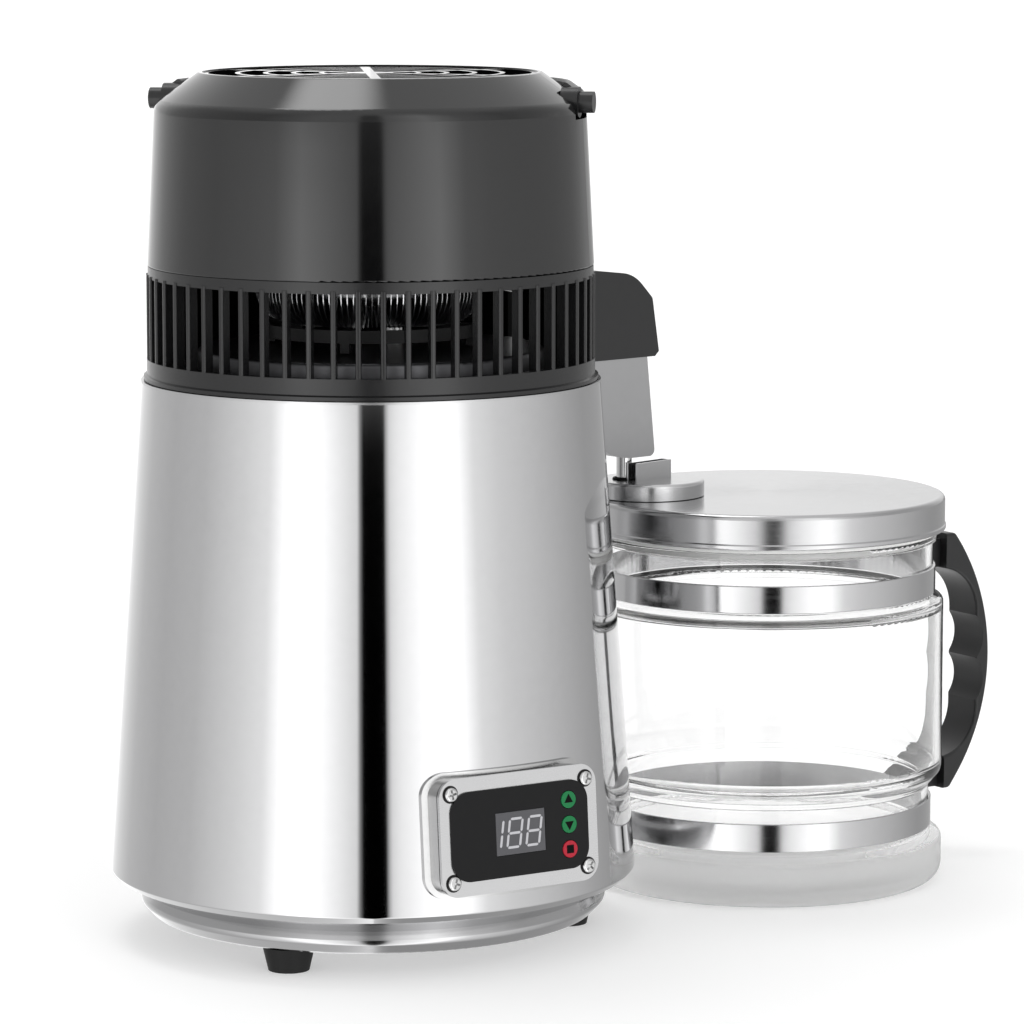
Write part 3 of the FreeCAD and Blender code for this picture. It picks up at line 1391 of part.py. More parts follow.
def make_carry_handle():
    """Half-round bail that lies on the shoulder, with an eye at each end, and the two pegs it swings on."""
    body = new_body("carry_handle")
    section = sketch_on(body, "XZ_Plane", "bail_section")
    inner_low = f"{shoulder_height('bail_inner_radius')} + bail_rest_gap"
    outer_low = f"{shoulder_height('bail_outer_radius')} + bail_rest_gap"
    outline(section, [
        ("bail_inner_radius", inner_low, "bail_round"),
        ("bail_outer_radius", outer_low, "bail_round"),
        ("bail_outer_radius", f"{outer_low} + bail_gauge", "bail_round"),
        ("bail_inner_radius", f"{inner_low} + bail_gauge", "bail_round"),
    ])
    turn_about_axis(body, section, "180")
    eye = sketch_on(body, "YZ_Plane", "bail_eye", lift="bail_inner_radius")
    circle(eye, "eye_radius", "0", "pivot_height")
    ear = pad(body, eye, "bail_outer_radius - bail_inner_radius")
    ring = sketch_on(body, "XY_Plane", "bail_axis")
    circle(ring, "1")
    around(body, [ear], ring, "2")
    bore = sketch_on(body, "YZ_Plane", "bail_bore", lift="bail_inner_radius - 1")
    circle(bore, "peg_radius + shaft_fit", "0", "pivot_height")
    hole = pocket(body, bore, "bail_outer_radius - bail_inner_radius + 2", reverse=True)
    around(body, [hole], ring, "2")
    place(body, azimuth="pivot_azimuth")
    keep("carry_handle", body)
    pegs = []
    start = "(bail_inner_radius - running_gap - moulding_wall)"
    for index in range(2):
        peg = new_body(f"peg_{index}")
        disc = sketch_on(peg, "YZ_Plane", f"peg_{index}_section", lift=start)
        circle(disc, "peg_radius", "0", "pivot_height")
        pad(peg, disc, f"peg_reach - {start}")
        place(peg, azimuth=f"pivot_azimuth + {180 * index}")
        pegs.append(peg)
    group("pivot_pegs", pegs)


def make_jug():
    """Thick glass jug with a stepped foot, a waist under each band and a beaded rim."""
    wall = "jug_glass_wall"
    glass = turned("jug_glass", [
        ("0", "jug_foot_rise"),
        ("jug_foot_radius", "jug_foot_rise"),
        ("jug_foot_radius + 2", "0"),
        ("jug_base_radius", "0", "jug_base_round"),
        ("jug_base_radius", "jug_base_height", "3"),
        ("jug_low_neck_radius", "jug_base_height + 3.5", "2"),
        ("jug_low_neck_radius", "jug_low_neck_height", "2"),
        ("jug_radius", "jug_low_shoulder_height", "5"),
        ("jug_radius", "jug_high_shoulder_height", "3"),
        ("jug_neck_radius", "jug_neck_height", "1"),
        ("jug_neck_radius", "jug_rim_height - jug_rim_depth - 0.8"),
        ("jug_rim_radius", "jug_rim_height - jug_rim_depth"),
        ("jug_rim_radius", "jug_rim_height", "1.2"),
        (f"jug_neck_radius - {wall}", "jug_rim_height", "1"),
        (f"jug_neck_radius - {wall}", f"jug_neck_height - {wall}", "2"),
        (f"jug_radius - {wall}", f"jug_high_shoulder_height - {wall}", "3"),
        (f"jug_radius - {wall}", f"jug_low_shoulder_height + {wall}", "5"),
        (f"jug_low_neck_radius - {wall}", f"jug_low_neck_height + {wall}", "2"),
        (f"jug_low_neck_radius - {wall}", "jug_floor_gauge", "8"),
        ("0", "jug_floor_gauge"),
    ])
    place(glass, x="jug_distance")
    bands = (
        ("lower_band", "jug_low_neck_radius", "low_band_height", "low_band_tall"),
        ("upper_band", "jug_neck_radius", "high_band_height", "high_band_tall"),
    )
    for node, seat, bottom, tall in bands:
        band = turned(node, [
            (seat, bottom),
            (f"{seat} + band_gauge", bottom, "0.4"),
            (f"{seat} + band_gauge", f"{bottom} + {tall}", "0.4"),
            (seat, f"{bottom} + {tall}"),
        ])
        place(band, x="jug_distance")


def round_sides(body, feature, name, low, high):
    """Rounds the long edges of the grip's two flat sides that lie between two heights."""
    document.recompute()
    sides = []
    for index, edge in enumerate(feature.Shape.Edges, start=1):
        box = edge.BoundBox
        between = box.ZMin > low - 0.01 and box.ZMax < high + 0.01
        if between and box.YLength < 0.01 and box.XMax > value("grip_start") + 0.1:
            sides.append(f"Edge{index}")
    rounding = body.newObject("PartDesign::Fillet", name)
    rounding.Base = (feature, sides)
    bind(rounding, "Radius", "grip_edge_round")


def make_grip():
    """Jug handle: a wide bow with finger scallops, on two narrower arms that reach the bands."""
    body = new_body("jug_handle")
    profile = sketch_on(body, "XZ_Plane", "grip_outline", lift="-grip_width / 2")
    centre = "(grip_reach - grip_bow_radius)"
    top = f"({centre} + grip_bow_radius / cos(grip_bow_angle)"
    outline(profile, [
        ("grip_start", "grip_bottom_height"),
        (f"{top} - (grip_middle_height - grip_bottom_height) * tan(grip_bow_angle))",
         "grip_bottom_height", "grip_end_round"),
        (f"{top})", "grip_middle_height", "grip_bow_radius"),
        (f"{top} - (grip_top_height - grip_middle_height) * tan(grip_bow_angle))",
         "grip_top_height", "grip_end_round"),
        ("grip_start", "grip_top_height"),
    ])
    block = pad(body, profile, "grip_width")
    round_sides(body, block, "grip_outer_rounding", value("grip_bottom_height"), value("grip_top_height"))
    hole = sketch_on(body, "XZ_Plane", "grip_opening", lift="-grip_width / 2 - 1")
    outline(hole, [
        ("grip_start - 5", "opening_bottom_height"),
        ("opening_reach", "opening_bottom_height", "opening_round"),
        ("opening_reach", "opening_top_height", "opening_round"),
        ("grip_start - 5", "opening_top_height"),
    ])
    bow = pocket(body, hole, "grip_width + 2", reverse=True)
    round_sides(body, bow, "grip_inner_rounding", value("opening_bottom_height"), value("opening_top_height"))
    for index in range(SIZES["scallop_count"]):
        scallop = sketch_on(body, "XZ_Plane", f"grip_scallop_{index}", lift="-grip_width / 2 - 1")
        circle(scallop, "scallop_radius", "scallop_reach - scallop_radius",
               f"scallop_first_height + {index} * scallop_pitch")
        pocket(body, scallop, "grip_width + 2", reverse=True)
    arms = (
        ("upper", "(jug_neck_radius + band_gauge)", "high_band_height", "high_band_tall",
         "opening_top_height", "grip_top_height - grip_end_round"),
        ("lower", "(jug_low_neck_radius + band_gauge)", "low_band_height", "low_band_tall",
         "grip_bottom_height + 0.5", "opening_bottom_height - 1"),
    )
    end = "grip_start + arm_overlap"
    for name, seat, bottom, tall, low, high in arms:
        arm = sketch_on(body, "XZ_Plane", f"grip_{name}_arm", lift="-arm_width / 2")
        outline(arm, [
            (seat, bottom),
            (seat, f"{bottom} + {tall}"),
            ("arm_slope_start", high),
            (end, high),
            (end, low),
            ("arm_slope_start", low),
        ])
        pad(body, arm, "arm_width")
    place(body, x="jug_distance")
    keep("jug_handle", body)


def lid_surface(lift):
    """Corners of the lid's crown, raised by a lift, from the skirt to the middle."""
    return [
        ("lid_crown_bend", f"lid_crown_height - lid_crown_drop + ({lift})", "lid_crown_round"),
        ("0", f"lid_crown_height + ({lift})"),
    ]


def make_lid():
    """Spun steel lid with a beaded skirt, the silicone ring under it, and the filter's opening."""
    body = new_body("jug_lid")
    section = sketch_on(body, "XZ_Plane", "lid_outline")
    bead = "lid_radius + lid_bead"
    inner = "lid_radius - steel_gauge"
    outline(section, [
        ("lid_flange_radius", "lid_bottom_height"),
        (bead, "lid_bottom_height", "0.8"),
        (bead, "lid_bottom_height + 2", "0.5"),
        ("lid_radius", "lid_bottom_height + 2.6"),
        ("lid_radius", "lid_skirt_height", "lid_edge_round"),
    ] + lid_surface("0") + [
        ("0", "lid_crown_height - steel_gauge"),
        ("lid_crown_bend", "lid_crown_height - lid_crown_drop - steel_gauge", "lid_crown_round"),
        (inner, "lid_skirt_height - steel_gauge", "lid_edge_round - steel_gauge"),
        (inner, "lid_bottom_height + steel_gauge"),
        ("lid_flange_radius", "lid_bottom_height + steel_gauge"),
    ])
    turn_about_axis(body, section)
    hole = sketch_on(body, "XY_Plane", "filter_opening", lift="lid_skirt_height - 5")
    circle(hole, "cup_radius + running_gap", "-cap_offset", "cap_side")
    pocket(body, hole, "20", reverse=True)
    place(body, x="jug_distance")
    keep("jug_lid", body)
    outer = "(jug_neck_radius - jug_glass_wall - running_gap)"
    ring_bottom = "(jug_rim_height + running_gap)"
    gasket = turned("lid_gasket", [
        (f"{outer} - lid_gasket_wall", "lid_bottom_height"),
        (f"{outer} - lid_gasket_wall", f"{ring_bottom} - lid_gasket_depth", "lid_gasket_wall * 0.4"),
        (outer, f"{ring_bottom} - lid_gasket_depth", "lid_gasket_wall * 0.4"),
        (outer, ring_bottom),
        ("jug_rim_radius + 0.5", ring_bottom, "0.8"),
        ("jug_rim_radius + 0.5", "lid_bottom_height"),
    ])
    place(gasket, x="jug_distance")


def make_filter():
    """Filter cap with its spout hole and upright tab, and the perforated cup that hangs under it."""
    body = new_body("cap_blank")
    gauge = "steel_gauge"
    section = sketch_on(body, "XZ_Plane", "cap_outline")
    outline(section, [
        ("cap_radius", "lid_skirt_height - 5"),
        ("cap_radius", "cap_top_height", "cap_round"),
        ("0", "cap_top_height"),
        ("0", f"cap_top_height - {gauge}"),
        (f"cap_radius - {gauge}", f"cap_top_height - {gauge}", f"cap_round - {gauge} * 0.6"),
        (f"cap_radius - {gauge}", "lid_skirt_height - 5"),
    ])
    turn_about_axis(body, section)
    hole = sketch_on(body, "XY_Plane", "cap_hole", lift="cap_top_height - 3")
    circle(hole, "spout_hole_radius", "spout_reach * cos(nozzle_azimuth) - jug_distance + cap_offset",
           "spout_reach * sin(nozzle_azimuth) - cap_side")
    pocket(body, hole, "6", reverse=True)
    tab = sketch_on(body, "XY_Plane", "cap_tab", lift=f"cap_top_height - {gauge} / 2", turn="tab_azimuth")
    near = "(-tab_gap / 2 - tab_gauge)"
    far = "(tab_gap / 2 + tab_gauge)"
    outline(tab, [
        ("-tab_length / 2", near),
        ("tab_length / 2", near),
        ("tab_length / 2", far),
        ("-tab_length / 2 - 1", far),
        ("-tab_length / 2 - 1", f"{far} - tab_gauge"),
        ("tab_length / 2 - tab_gauge", f"{far} - tab_gauge"),
        ("tab_length / 2 - tab_gauge", f"{near} + tab_gauge"),
        ("-tab_length / 2", f"{near} + tab_gauge"),
    ])
    pad(body, tab, f"tab_height + {gauge} / 2")
    place(body, "jug_distance - cap_offset", "cap_side")
    crown = new_body("crown_envelope")
    crown_section = sketch_on(crown, "XZ_Plane", "crown_outline")
    outline(crown_section, [
        ("0", "lid_bottom_height"),
        ("lid_radius", "lid_bottom_height"),
        ("lid_radius", "lid_skirt_height + running_gap"),
    ] + lid_surface("running_gap"))
    turn_about_axis(crown, crown_section)
    place(crown, x="jug_distance")
    cap = document.addObject("Part::Cut", "filter_cap")
    cap.Base = body
    cap.Tool = crown
    keep("filter_cap", cap)

    cup = new_body("filter_cup")
    cup_section = sketch_on(cup, "XZ_Plane", "cup_outline")
    top = f"(cap_top_height - {gauge})"
    outline(cup_section, [
        ("0", "cup_bottom_height"),
        ("cup_radius", "cup_bottom_height", "3"),
        ("cup_radius", top),
        (f"cup_radius - {gauge}", top),
        (f"cup_radius - {gauge}", f"cup_bottom_height + {gauge}", "2"),
        ("0", f"cup_bottom_height + {gauge}"),
    ])
    turn_about_axis(cup, cup_section)
    drain = sketch_on(cup, "XY_Plane", "cup_drain", lift="cup_bottom_height - 1")
    circle(drain, "cup_hole_radius", "cup_hole_circle")
    drip = pocket(cup, drain, f"{gauge} + 2", reverse=True)
    around(cup, [drip], drain, "cup_hole_count")
    place(cup, "jug_distance - cap_offset", "cap_side")
    keep("filter_cup", cup)


def main():
    """Builds every sub-part, checks each one and writes it."""
    make_shell()
    envelope = make_cone("shell_envelope", "0")
    make_chamber()
    make_base()
    make_heater()
    make_inlet(envelope)
    make_panel(envelope)
    make_keys()
    make_numerals()
    make_louvre_ring()
    make_baffle()
    make_fan_inlet(make_head_shell())
    make_grille()
    make_fan()
    steam = make_condenser()
    make_pan_and_gasket(steam.x, steam.y)
    make_nozzle()
    make_carry_handle()
    make_jug()
    make_grip()
    make_lid()
    make_filter()
    document.recompute()
    faults = [item.Name for item in document.Objects if "Invalid" in item.State or "Error" in item.State]
    if faults:
        raise RuntimeError("objects that failed: " + ", ".join(faults))
    os.makedirs("parts", exist_ok=True)
    for node, thing in sub_parts.items():
        shape = thing.Shape
        if shape.isNull() or not shape.isValid() or not shape.Solids:
            raise RuntimeError(node + " has no valid solid")
        shape.exportStep(f"parts/{node}.step")
        print(f"{node}: {len(shape.Solids)} solids, {shape.Volume:.0f} cubic mm")


main()
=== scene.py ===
"""Looks, studio and fine trim of a countertop water distiller, built round its solid model."""

import logging
import math
from collections.abc import Callable
from dataclasses import dataclass
from enum import Enum

import bpy
from mathutils import Matrix, Vector


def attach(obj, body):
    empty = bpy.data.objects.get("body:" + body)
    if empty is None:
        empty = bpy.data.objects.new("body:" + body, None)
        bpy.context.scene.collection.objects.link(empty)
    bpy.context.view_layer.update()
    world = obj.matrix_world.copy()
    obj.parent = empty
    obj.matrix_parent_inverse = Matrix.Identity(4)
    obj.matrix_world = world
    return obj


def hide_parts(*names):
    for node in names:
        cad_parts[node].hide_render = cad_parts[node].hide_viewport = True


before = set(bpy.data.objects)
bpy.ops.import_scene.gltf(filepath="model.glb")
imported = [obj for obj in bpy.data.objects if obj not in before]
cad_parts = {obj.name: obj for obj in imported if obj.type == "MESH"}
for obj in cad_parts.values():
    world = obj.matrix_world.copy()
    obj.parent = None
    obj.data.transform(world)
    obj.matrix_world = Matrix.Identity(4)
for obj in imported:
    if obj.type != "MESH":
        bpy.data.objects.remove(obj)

logging.basicConfig(level=logging.INFO, format="%(message)s")
log = logging.getLogger("distiller")

MM = 0.001

# Nearer to the axis than this, spun lines no longer turn with the surface.
AXIS_GUARD = 2 * MM

# A face looks along Z when its normal's Z passes this.
FACING = 0.9

# Colours that several finishes share.
STEEL = (0.53, 0.53, 0.535)
BLACK = (0.002, 0.002, 0.0022)

# X and Y of the axes that the jug's and the cap's spun lines run round.
JUG_AXIS = (0.2117, 0.0)
CAP_AXIS = (0.1598, 0.0184)

# The display panel's face: how far it stands in front of the boiler's axis, its middle's
# height, and how many degrees it leans back.
PANEL_REACH = 118 * MM
PANEL_HEIGHT = 64 * MM
PANEL_LEAN = 4.13


class Grain(Enum):
    """How the lines of a metal's surface run."""

    NONE = "none"
    SPUN = "spun"
    STRAIGHT = "straight"


class Web:
    """Adds nodes to one shader tree and joins them."""

    def __init__(self, tree: bpy.types.NodeTree) -> None:
        """Starts on a tree.

        Args:
            tree: the material's, world's or group's node tree.
        """
        self.tree = tree

    def add(self, kind: str, **sockets: object) -> bpy.types.Node:
        """Adds a node and fills its inputs.

        Args:
            kind: Blender's name for the node.
            sockets: each input's name, with underscores for spaces, and its value or the output
                that feeds it.

        Returns:
            The new node.
        """
        node = self.tree.nodes.new(kind)
        for name, value in sockets.items():
            self.feed(node.inputs[name.replace("_", " ")], value)
        return node

    def feed(self, socket: bpy.types.NodeSocket, value: object) -> None:
        """Links an output to a socket, or sets the socket's own value."""
        if isinstance(value, bpy.types.NodeSocket):
            self.tree.links.new(value, socket)
        else:
            socket.default_value = value

    def sum(self, operation: str, *values: object) -> bpy.types.NodeSocket:
        """Works out one arithmetic step.

        Args:
            operation: Blender's name for the step.
            values: numbers or outputs, in order.

        Returns:
            The result's output.
        """
        node = self.tree.nodes.new("ShaderNodeMath")
        node.operation = operation
        for socket, value in zip(node.inputs, values):
            self.feed(socket, value)
        return node.outputs[0]

    def span(self, value: object, low: float, high: float) -> bpy.types.NodeSocket:
        """Maps 0..1 onto low..high."""
        node = self.tree.nodes.new("ShaderNodeMapRange")
        self.feed(node.inputs["Value"], value)
        node.inputs["To Min"].default_value = low
        node.inputs["To Max"].default_value = high
        return node.outputs["Result"]

    def blend(self, factor: object, first: tuple, second: tuple) -> bpy.types.NodeSocket:
        """Mixes two colours by a factor and gives the colour's output."""
        node = self.tree.nodes.new("ShaderNodeMix")
        node.data_type = "RGBA"
        self.feed(node.inputs["Factor"], factor)
        self.feed(node.inputs["A"], (*first, 1.0))
        self.feed(node.inputs["B"], (*second, 1.0))
        return node.outputs["Result"]


def effect(name: str, inputs: dict[str, float], output: str,
           fill: Callable[[Web, bpy.types.Node], bpy.types.NodeSocket]) -> bpy.types.NodeTree:
    """Makes a shared shader effect once, with a Vector input of its own.

    Args:
        name: the group's name.
        inputs: further inputs and their usual values.
        output: the name of the number that the effect gives.
        fill: takes the web and the group's input node and gives the output's source.

    Returns:
        The node group.
    """
    made = bpy.data.node_groups.get(name)
    if made:
        return made
    tree = bpy.data.node_groups.new(name, "ShaderNodeTree")
    tree.interface.new_socket("Vector", in_out="INPUT", socket_type="NodeSocketVector")
    for title, usual in inputs.items():
        socket = tree.interface.new_socket(title, in_out="INPUT", socket_type="NodeSocketFloat")
        socket.default_value = usual
    tree.interface.new_socket(output, in_out="OUTPUT", socket_type="NodeSocketFloat")
    web = Web(tree)
    start = tree.nodes.new("NodeGroupInput")
    end = tree.nodes.new("NodeGroupOutput")
    web.feed(end.inputs[output], fill(web, start))
    return tree


def spun_lines() -> bpy.types.NodeTree:
    """Fine lines that run round the Z axis, as a lathe or a polishing wheel leaves them."""

    def fill(web: Web, start: bpy.types.Node) -> bpy.types.NodeSocket:
        """Builds the effect."""
        parts = web.add("ShaderNodeSeparateXYZ", Vector=start.outputs["Vector"])
        x, y, z = parts.outputs
        squares = web.sum("ADD", web.sum("MULTIPLY", x, x), web.sum("MULTIPLY", y, y))
        radius = web.sum("SQRT", squares)
        near = web.sum("MAXIMUM", radius, AXIS_GUARD)
        across = web.sum("MULTIPLY", web.sum("ADD", radius, z), start.outputs["Across"])
        u = web.sum("MULTIPLY", web.sum("DIVIDE", x, near), start.outputs["Around"])
        v = web.sum("MULTIPLY", web.sum("DIVIDE", y, near), start.outputs["Around"])
        place = web.add("ShaderNodeCombineXYZ", X=u, Y=v, Z=across)
        noise = web.add("ShaderNodeTexNoise", Vector=place.outputs[0],
                        Scale=1.0, Detail=4.0, Roughness=0.7)
        return noise.outputs["Fac"]

    return effect("spun_lines", {"Around": 3.0, "Across": 1500.0}, "Streak", fill)


def straight_lines() -> bpy.types.NodeTree:
    """Fine lines along X, as a belt sander leaves them."""

    def fill(web: Web, start: bpy.types.Node) -> bpy.types.NodeSocket:
        """Builds the effect."""
        parts = web.add("ShaderNodeSeparateXYZ", Vector=start.outputs["Vector"])
        x, y, z = parts.outputs
        along = web.sum("MULTIPLY", x, start.outputs["Around"])
        side = web.sum("MULTIPLY", y, start.outputs["Across"])
        up = web.sum("MULTIPLY", z, start.outputs["Across"])
        place = web.add("ShaderNodeCombineXYZ", X=along, Y=side, Z=up)
        noise = web.add("ShaderNodeTexNoise", Vector=place.outputs[0],
                        Scale=1.0, Detail=4.0, Roughness=0.7)
        return noise.outputs["Fac"]

    return effect("straight_lines", {"Around": 40.0, "Across": 2500.0}, "Streak", fill)


def handling_marks() -> bpy.types.NodeTree:
    """Faint patches where hands and cloths have left a surface a little duller."""
    fineness = 14.0
    strength = 2.0

    def fill(web: Web, start: bpy.types.Node) -> bpy.types.NodeSocket:
        """Builds the effect."""
        broad = web.add("ShaderNodeTexNoise", Vector=start.outputs["Vector"],
                        Scale=start.outputs["Scale"], Detail=5.0, Roughness=0.6, Distortion=0.6)
        fine_scale = web.sum("MULTIPLY", start.outputs["Scale"], fineness)
        fine = web.add("ShaderNodeTexNoise", Vector=start.outputs["Vector"],
                       Scale=fine_scale, Detail=3.0)
        both = web.sum("MULTIPLY", broad.outputs["Fac"], fine.outputs["Fac"])
        return web.sum("MULTIPLY", both, strength)

    return effect("handling_marks", {"Scale": 14.0}, "Mask", fill)


def mould_grain() -> bpy.types.NodeTree:
    """Fine pebbling of a spark-eroded mould."""

    def fill(web: Web, start: bpy.types.Node) -> bpy.types.NodeSocket:
        """Builds the effect."""
        cells = web.add("ShaderNodeTexVoronoi", Vector=start.outputs["Vector"],
                        Scale=start.outputs["Scale"])
        soft = web.add("ShaderNodeTexNoise", Vector=start.outputs["Vector"],
                       Scale=start.outputs["Scale"], Detail=4.0)
        return web.sum("MULTIPLY", cells.outputs["Distance"], soft.outputs["Fac"])

    return effect("mould_grain", {"Scale": 900.0}, "Height", fill)


def blank_material(
        name: str) -> tuple[bpy.types.Material, Web, bpy.types.Node, bpy.types.NodeSocket]:
    """Starts a material.

    Args:
        name: the material's name.

    Returns:
        The material, its web, its surface shader and its object coordinates.
    """
    material = bpy.data.materials.new(name)
    material.use_nodes = True
    web = Web(material.node_tree)
    shader = material.node_tree.nodes["Principled BSDF"]
    place = web.add("ShaderNodeTexCoord").outputs["Object"]
    return material, web, shader, place


def group_node(web: Web, tree: bpy.types.NodeTree, place: bpy.types.NodeSocket,
               **values: float) -> bpy.types.Node:
    """Places a shared effect in a material.

    Args:
        web: the material's web.
        tree: the effect.
        place: the material's object coordinates.
        values: the effect's inputs that this material sets.

    Returns:
        The effect's node.
    """
    node = web.tree.nodes.new("ShaderNodeGroup")
    node.node_tree = tree
    web.feed(node.inputs["Vector"], place)
    for name, value in values.items():
        node.inputs[name].default_value = value
    return node


def bump(web: Web, shader: bpy.types.Node, height: bpy.types.NodeSocket, depth: float) -> None:
    """Feeds a shader's normal from a height.

    Args:
        web: the material's web.
        shader: the surface shader.
        height: the effect's height, 0 to 1.
        depth: the full height in metres.
    """
    node = web.add("ShaderNodeBump", Height=height, Distance=depth, Strength=1.0)
    web.feed(shader.inputs["Normal"], node.outputs["Normal"])


@dataclass(frozen=True)
class Metal:
    """A bare metal finish.

    The lines of its grain are spaced by around and across and are depth metres deep. Spun lines
    run round centre. Spread is how much duller the handled patches are, and stretch draws the
    highlights out across the lines.
    """

    name: str
    colour: tuple[float, float, float]
    roughness: float
    spread: float = 0.05
    grain: Grain = Grain.NONE
    around: float = 3.0
    across: float = 1500.0
    depth: float = 0.0
    centre: tuple[float, float] = (0.0, 0.0)
    marks: float = 14.0
    darkening: float = 0.96
    stretch: float = 0.0

    def build(self) -> bpy.types.Material:
        """Makes the material."""
        material, web, shader, place = blank_material(self.name)
        shader.inputs["Metallic"].default_value = 1.0
        marks = group_node(web, handling_marks(), place, Scale=self.marks).outputs["Mask"]
        dull = tuple(self.darkening * part for part in self.colour)
        web.feed(shader.inputs["Base Color"], web.blend(marks, self.colour, dull))
        rough = web.span(marks, self.roughness, self.roughness + self.spread)
        if self.grain is not Grain.NONE:
            centred = web.add("ShaderNodeMapping", Vector=place,
                              Location=(-self.centre[0], -self.centre[1], 0.0))
            tree = spun_lines() if self.grain is Grain.SPUN else straight_lines()
            lines = group_node(web, tree, centred.outputs[0],
                               Around=self.around, Across=self.across)
            streak = lines.outputs["Streak"]
            rough = web.sum("ADD", rough, web.span(streak, -self.spread, self.spread))
            bump(web, shader, streak, self.depth)
        web.feed(shader.inputs["Roughness"], rough)
        if self.stretch:
            shader.inputs["Anisotropic"].default_value = self.stretch
            tangent = web.tree.nodes.new("ShaderNodeTangent")
            tangent.direction_type = "RADIAL"
            tangent.axis = "Z"
            web.feed(shader.inputs["Tangent"], tangent.outputs[0])
        return material


@dataclass(frozen=True)
class Moulding:
    """A moulded plastic or rubber finish, pebbled depth metres deep where its mould was."""

    name: str
    colour: tuple[float, float, float]
    roughness: float
    specular: float = 0.5
    coat: float = 0.0
    coat_roughness: float = 0.03
    pebble: float = 900.0
    depth: float = 0.0
    marks: float = 14.0
    spread: float = 0.06
    lightening: float = 1.15
    dust: float = 0.002

    def build(self) -> bpy.types.Material:
        """Makes the material."""
        material, web, shader, place = blank_material(self.name)
        marks = group_node(web, handling_marks(), place, Scale=self.marks).outputs["Mask"]
        lighter = tuple(min(1.0, part * self.lightening + self.dust) for part in self.colour)
        web.feed(shader.inputs["Base Color"], web.blend(marks, self.colour, lighter))
        rough = web.span(marks, self.roughness, self.roughness + self.spread)
        web.feed(shader.inputs["Roughness"], rough)
        shader.inputs["Specular IOR Level"].default_value = self.specular
        shader.inputs["Coat Weight"].default_value = self.coat
        shader.inputs["Coat Roughness"].default_value = self.coat_roughness
        if self.depth:
            pebble = group_node(web, mould_grain(), place, Scale=self.pebble).outputs["Height"]
            bump(web, shader, pebble, self.depth)
        return material


@dataclass(frozen=True)
class JugGlass:
    """Clear pressed glass, slightly rippled, whose thick foot is hazy below a height."""

    name: str
    tint: tuple[float, float, float]
    haze_height: float
    haze: float
    clearest: float = 0.7
    fade: float = 400.0
    bending: float = 1.47
    marks: float = 30.0
    ripple: float = 28.0
    ripple_depth: float = 0.03 * MM

    def build(self) -> bpy.types.Material:
        """Makes the material."""
        material, web, shader, place = blank_material(self.name)
        shader.inputs["Base Color"].default_value = (*self.tint, 1.0)
        shader.inputs["Transmission Weight"].default_value = 1.0
        shader.inputs["IOR"].default_value = self.bending
        height = web.add("ShaderNodeSeparateXYZ", Vector=place).outputs["Z"]
        below = web.sum("MULTIPLY", web.sum("SUBTRACT", self.haze_height, height), self.fade)
        held = web.tree.nodes.new("ShaderNodeClamp")
        web.feed(held.inputs["Value"], below)
        marks = group_node(web, handling_marks(), place, Scale=self.marks).outputs["Mask"]
        patches = web.span(marks, self.haze * self.clearest, self.haze)
        web.feed(shader.inputs["Roughness"], web.sum("MULTIPLY", held.outputs[0], patches))
        ripple = web.add("ShaderNodeTexNoise", Vector=place, Scale=self.ripple, Detail=1.0)
        bump(web, shader, ripple.outputs["Fac"], self.ripple_depth)
        return material


@dataclass(frozen=True)
class Lamp:
    """Lit plastic bars of the read-out."""

    name: str
    colour: tuple[float, float, float]
    strength: float
    roughness: float = 0.4
    mottle: float = 1800.0
    dimming: float = 0.82

    def build(self) -> bpy.types.Material:
        """Makes the material."""
        material, web, shader, place = blank_material(self.name)
        noise = web.add("ShaderNodeTexNoise", Vector=place, Scale=self.mottle, Detail=2.0)
        dim = tuple(part * self.dimming for part in self.colour)
        colour = web.blend(noise.outputs["Fac"], self.colour, dim)
        web.feed(shader.inputs["Base Color"], colour)
        web.feed(shader.inputs["Emission Color"], colour)
        shader.inputs["Emission Strength"].default_value = self.strength
        shader.inputs["Roughness"].default_value = self.roughness
        return material


Finish = Metal | Moulding | JugGlass | Lamp

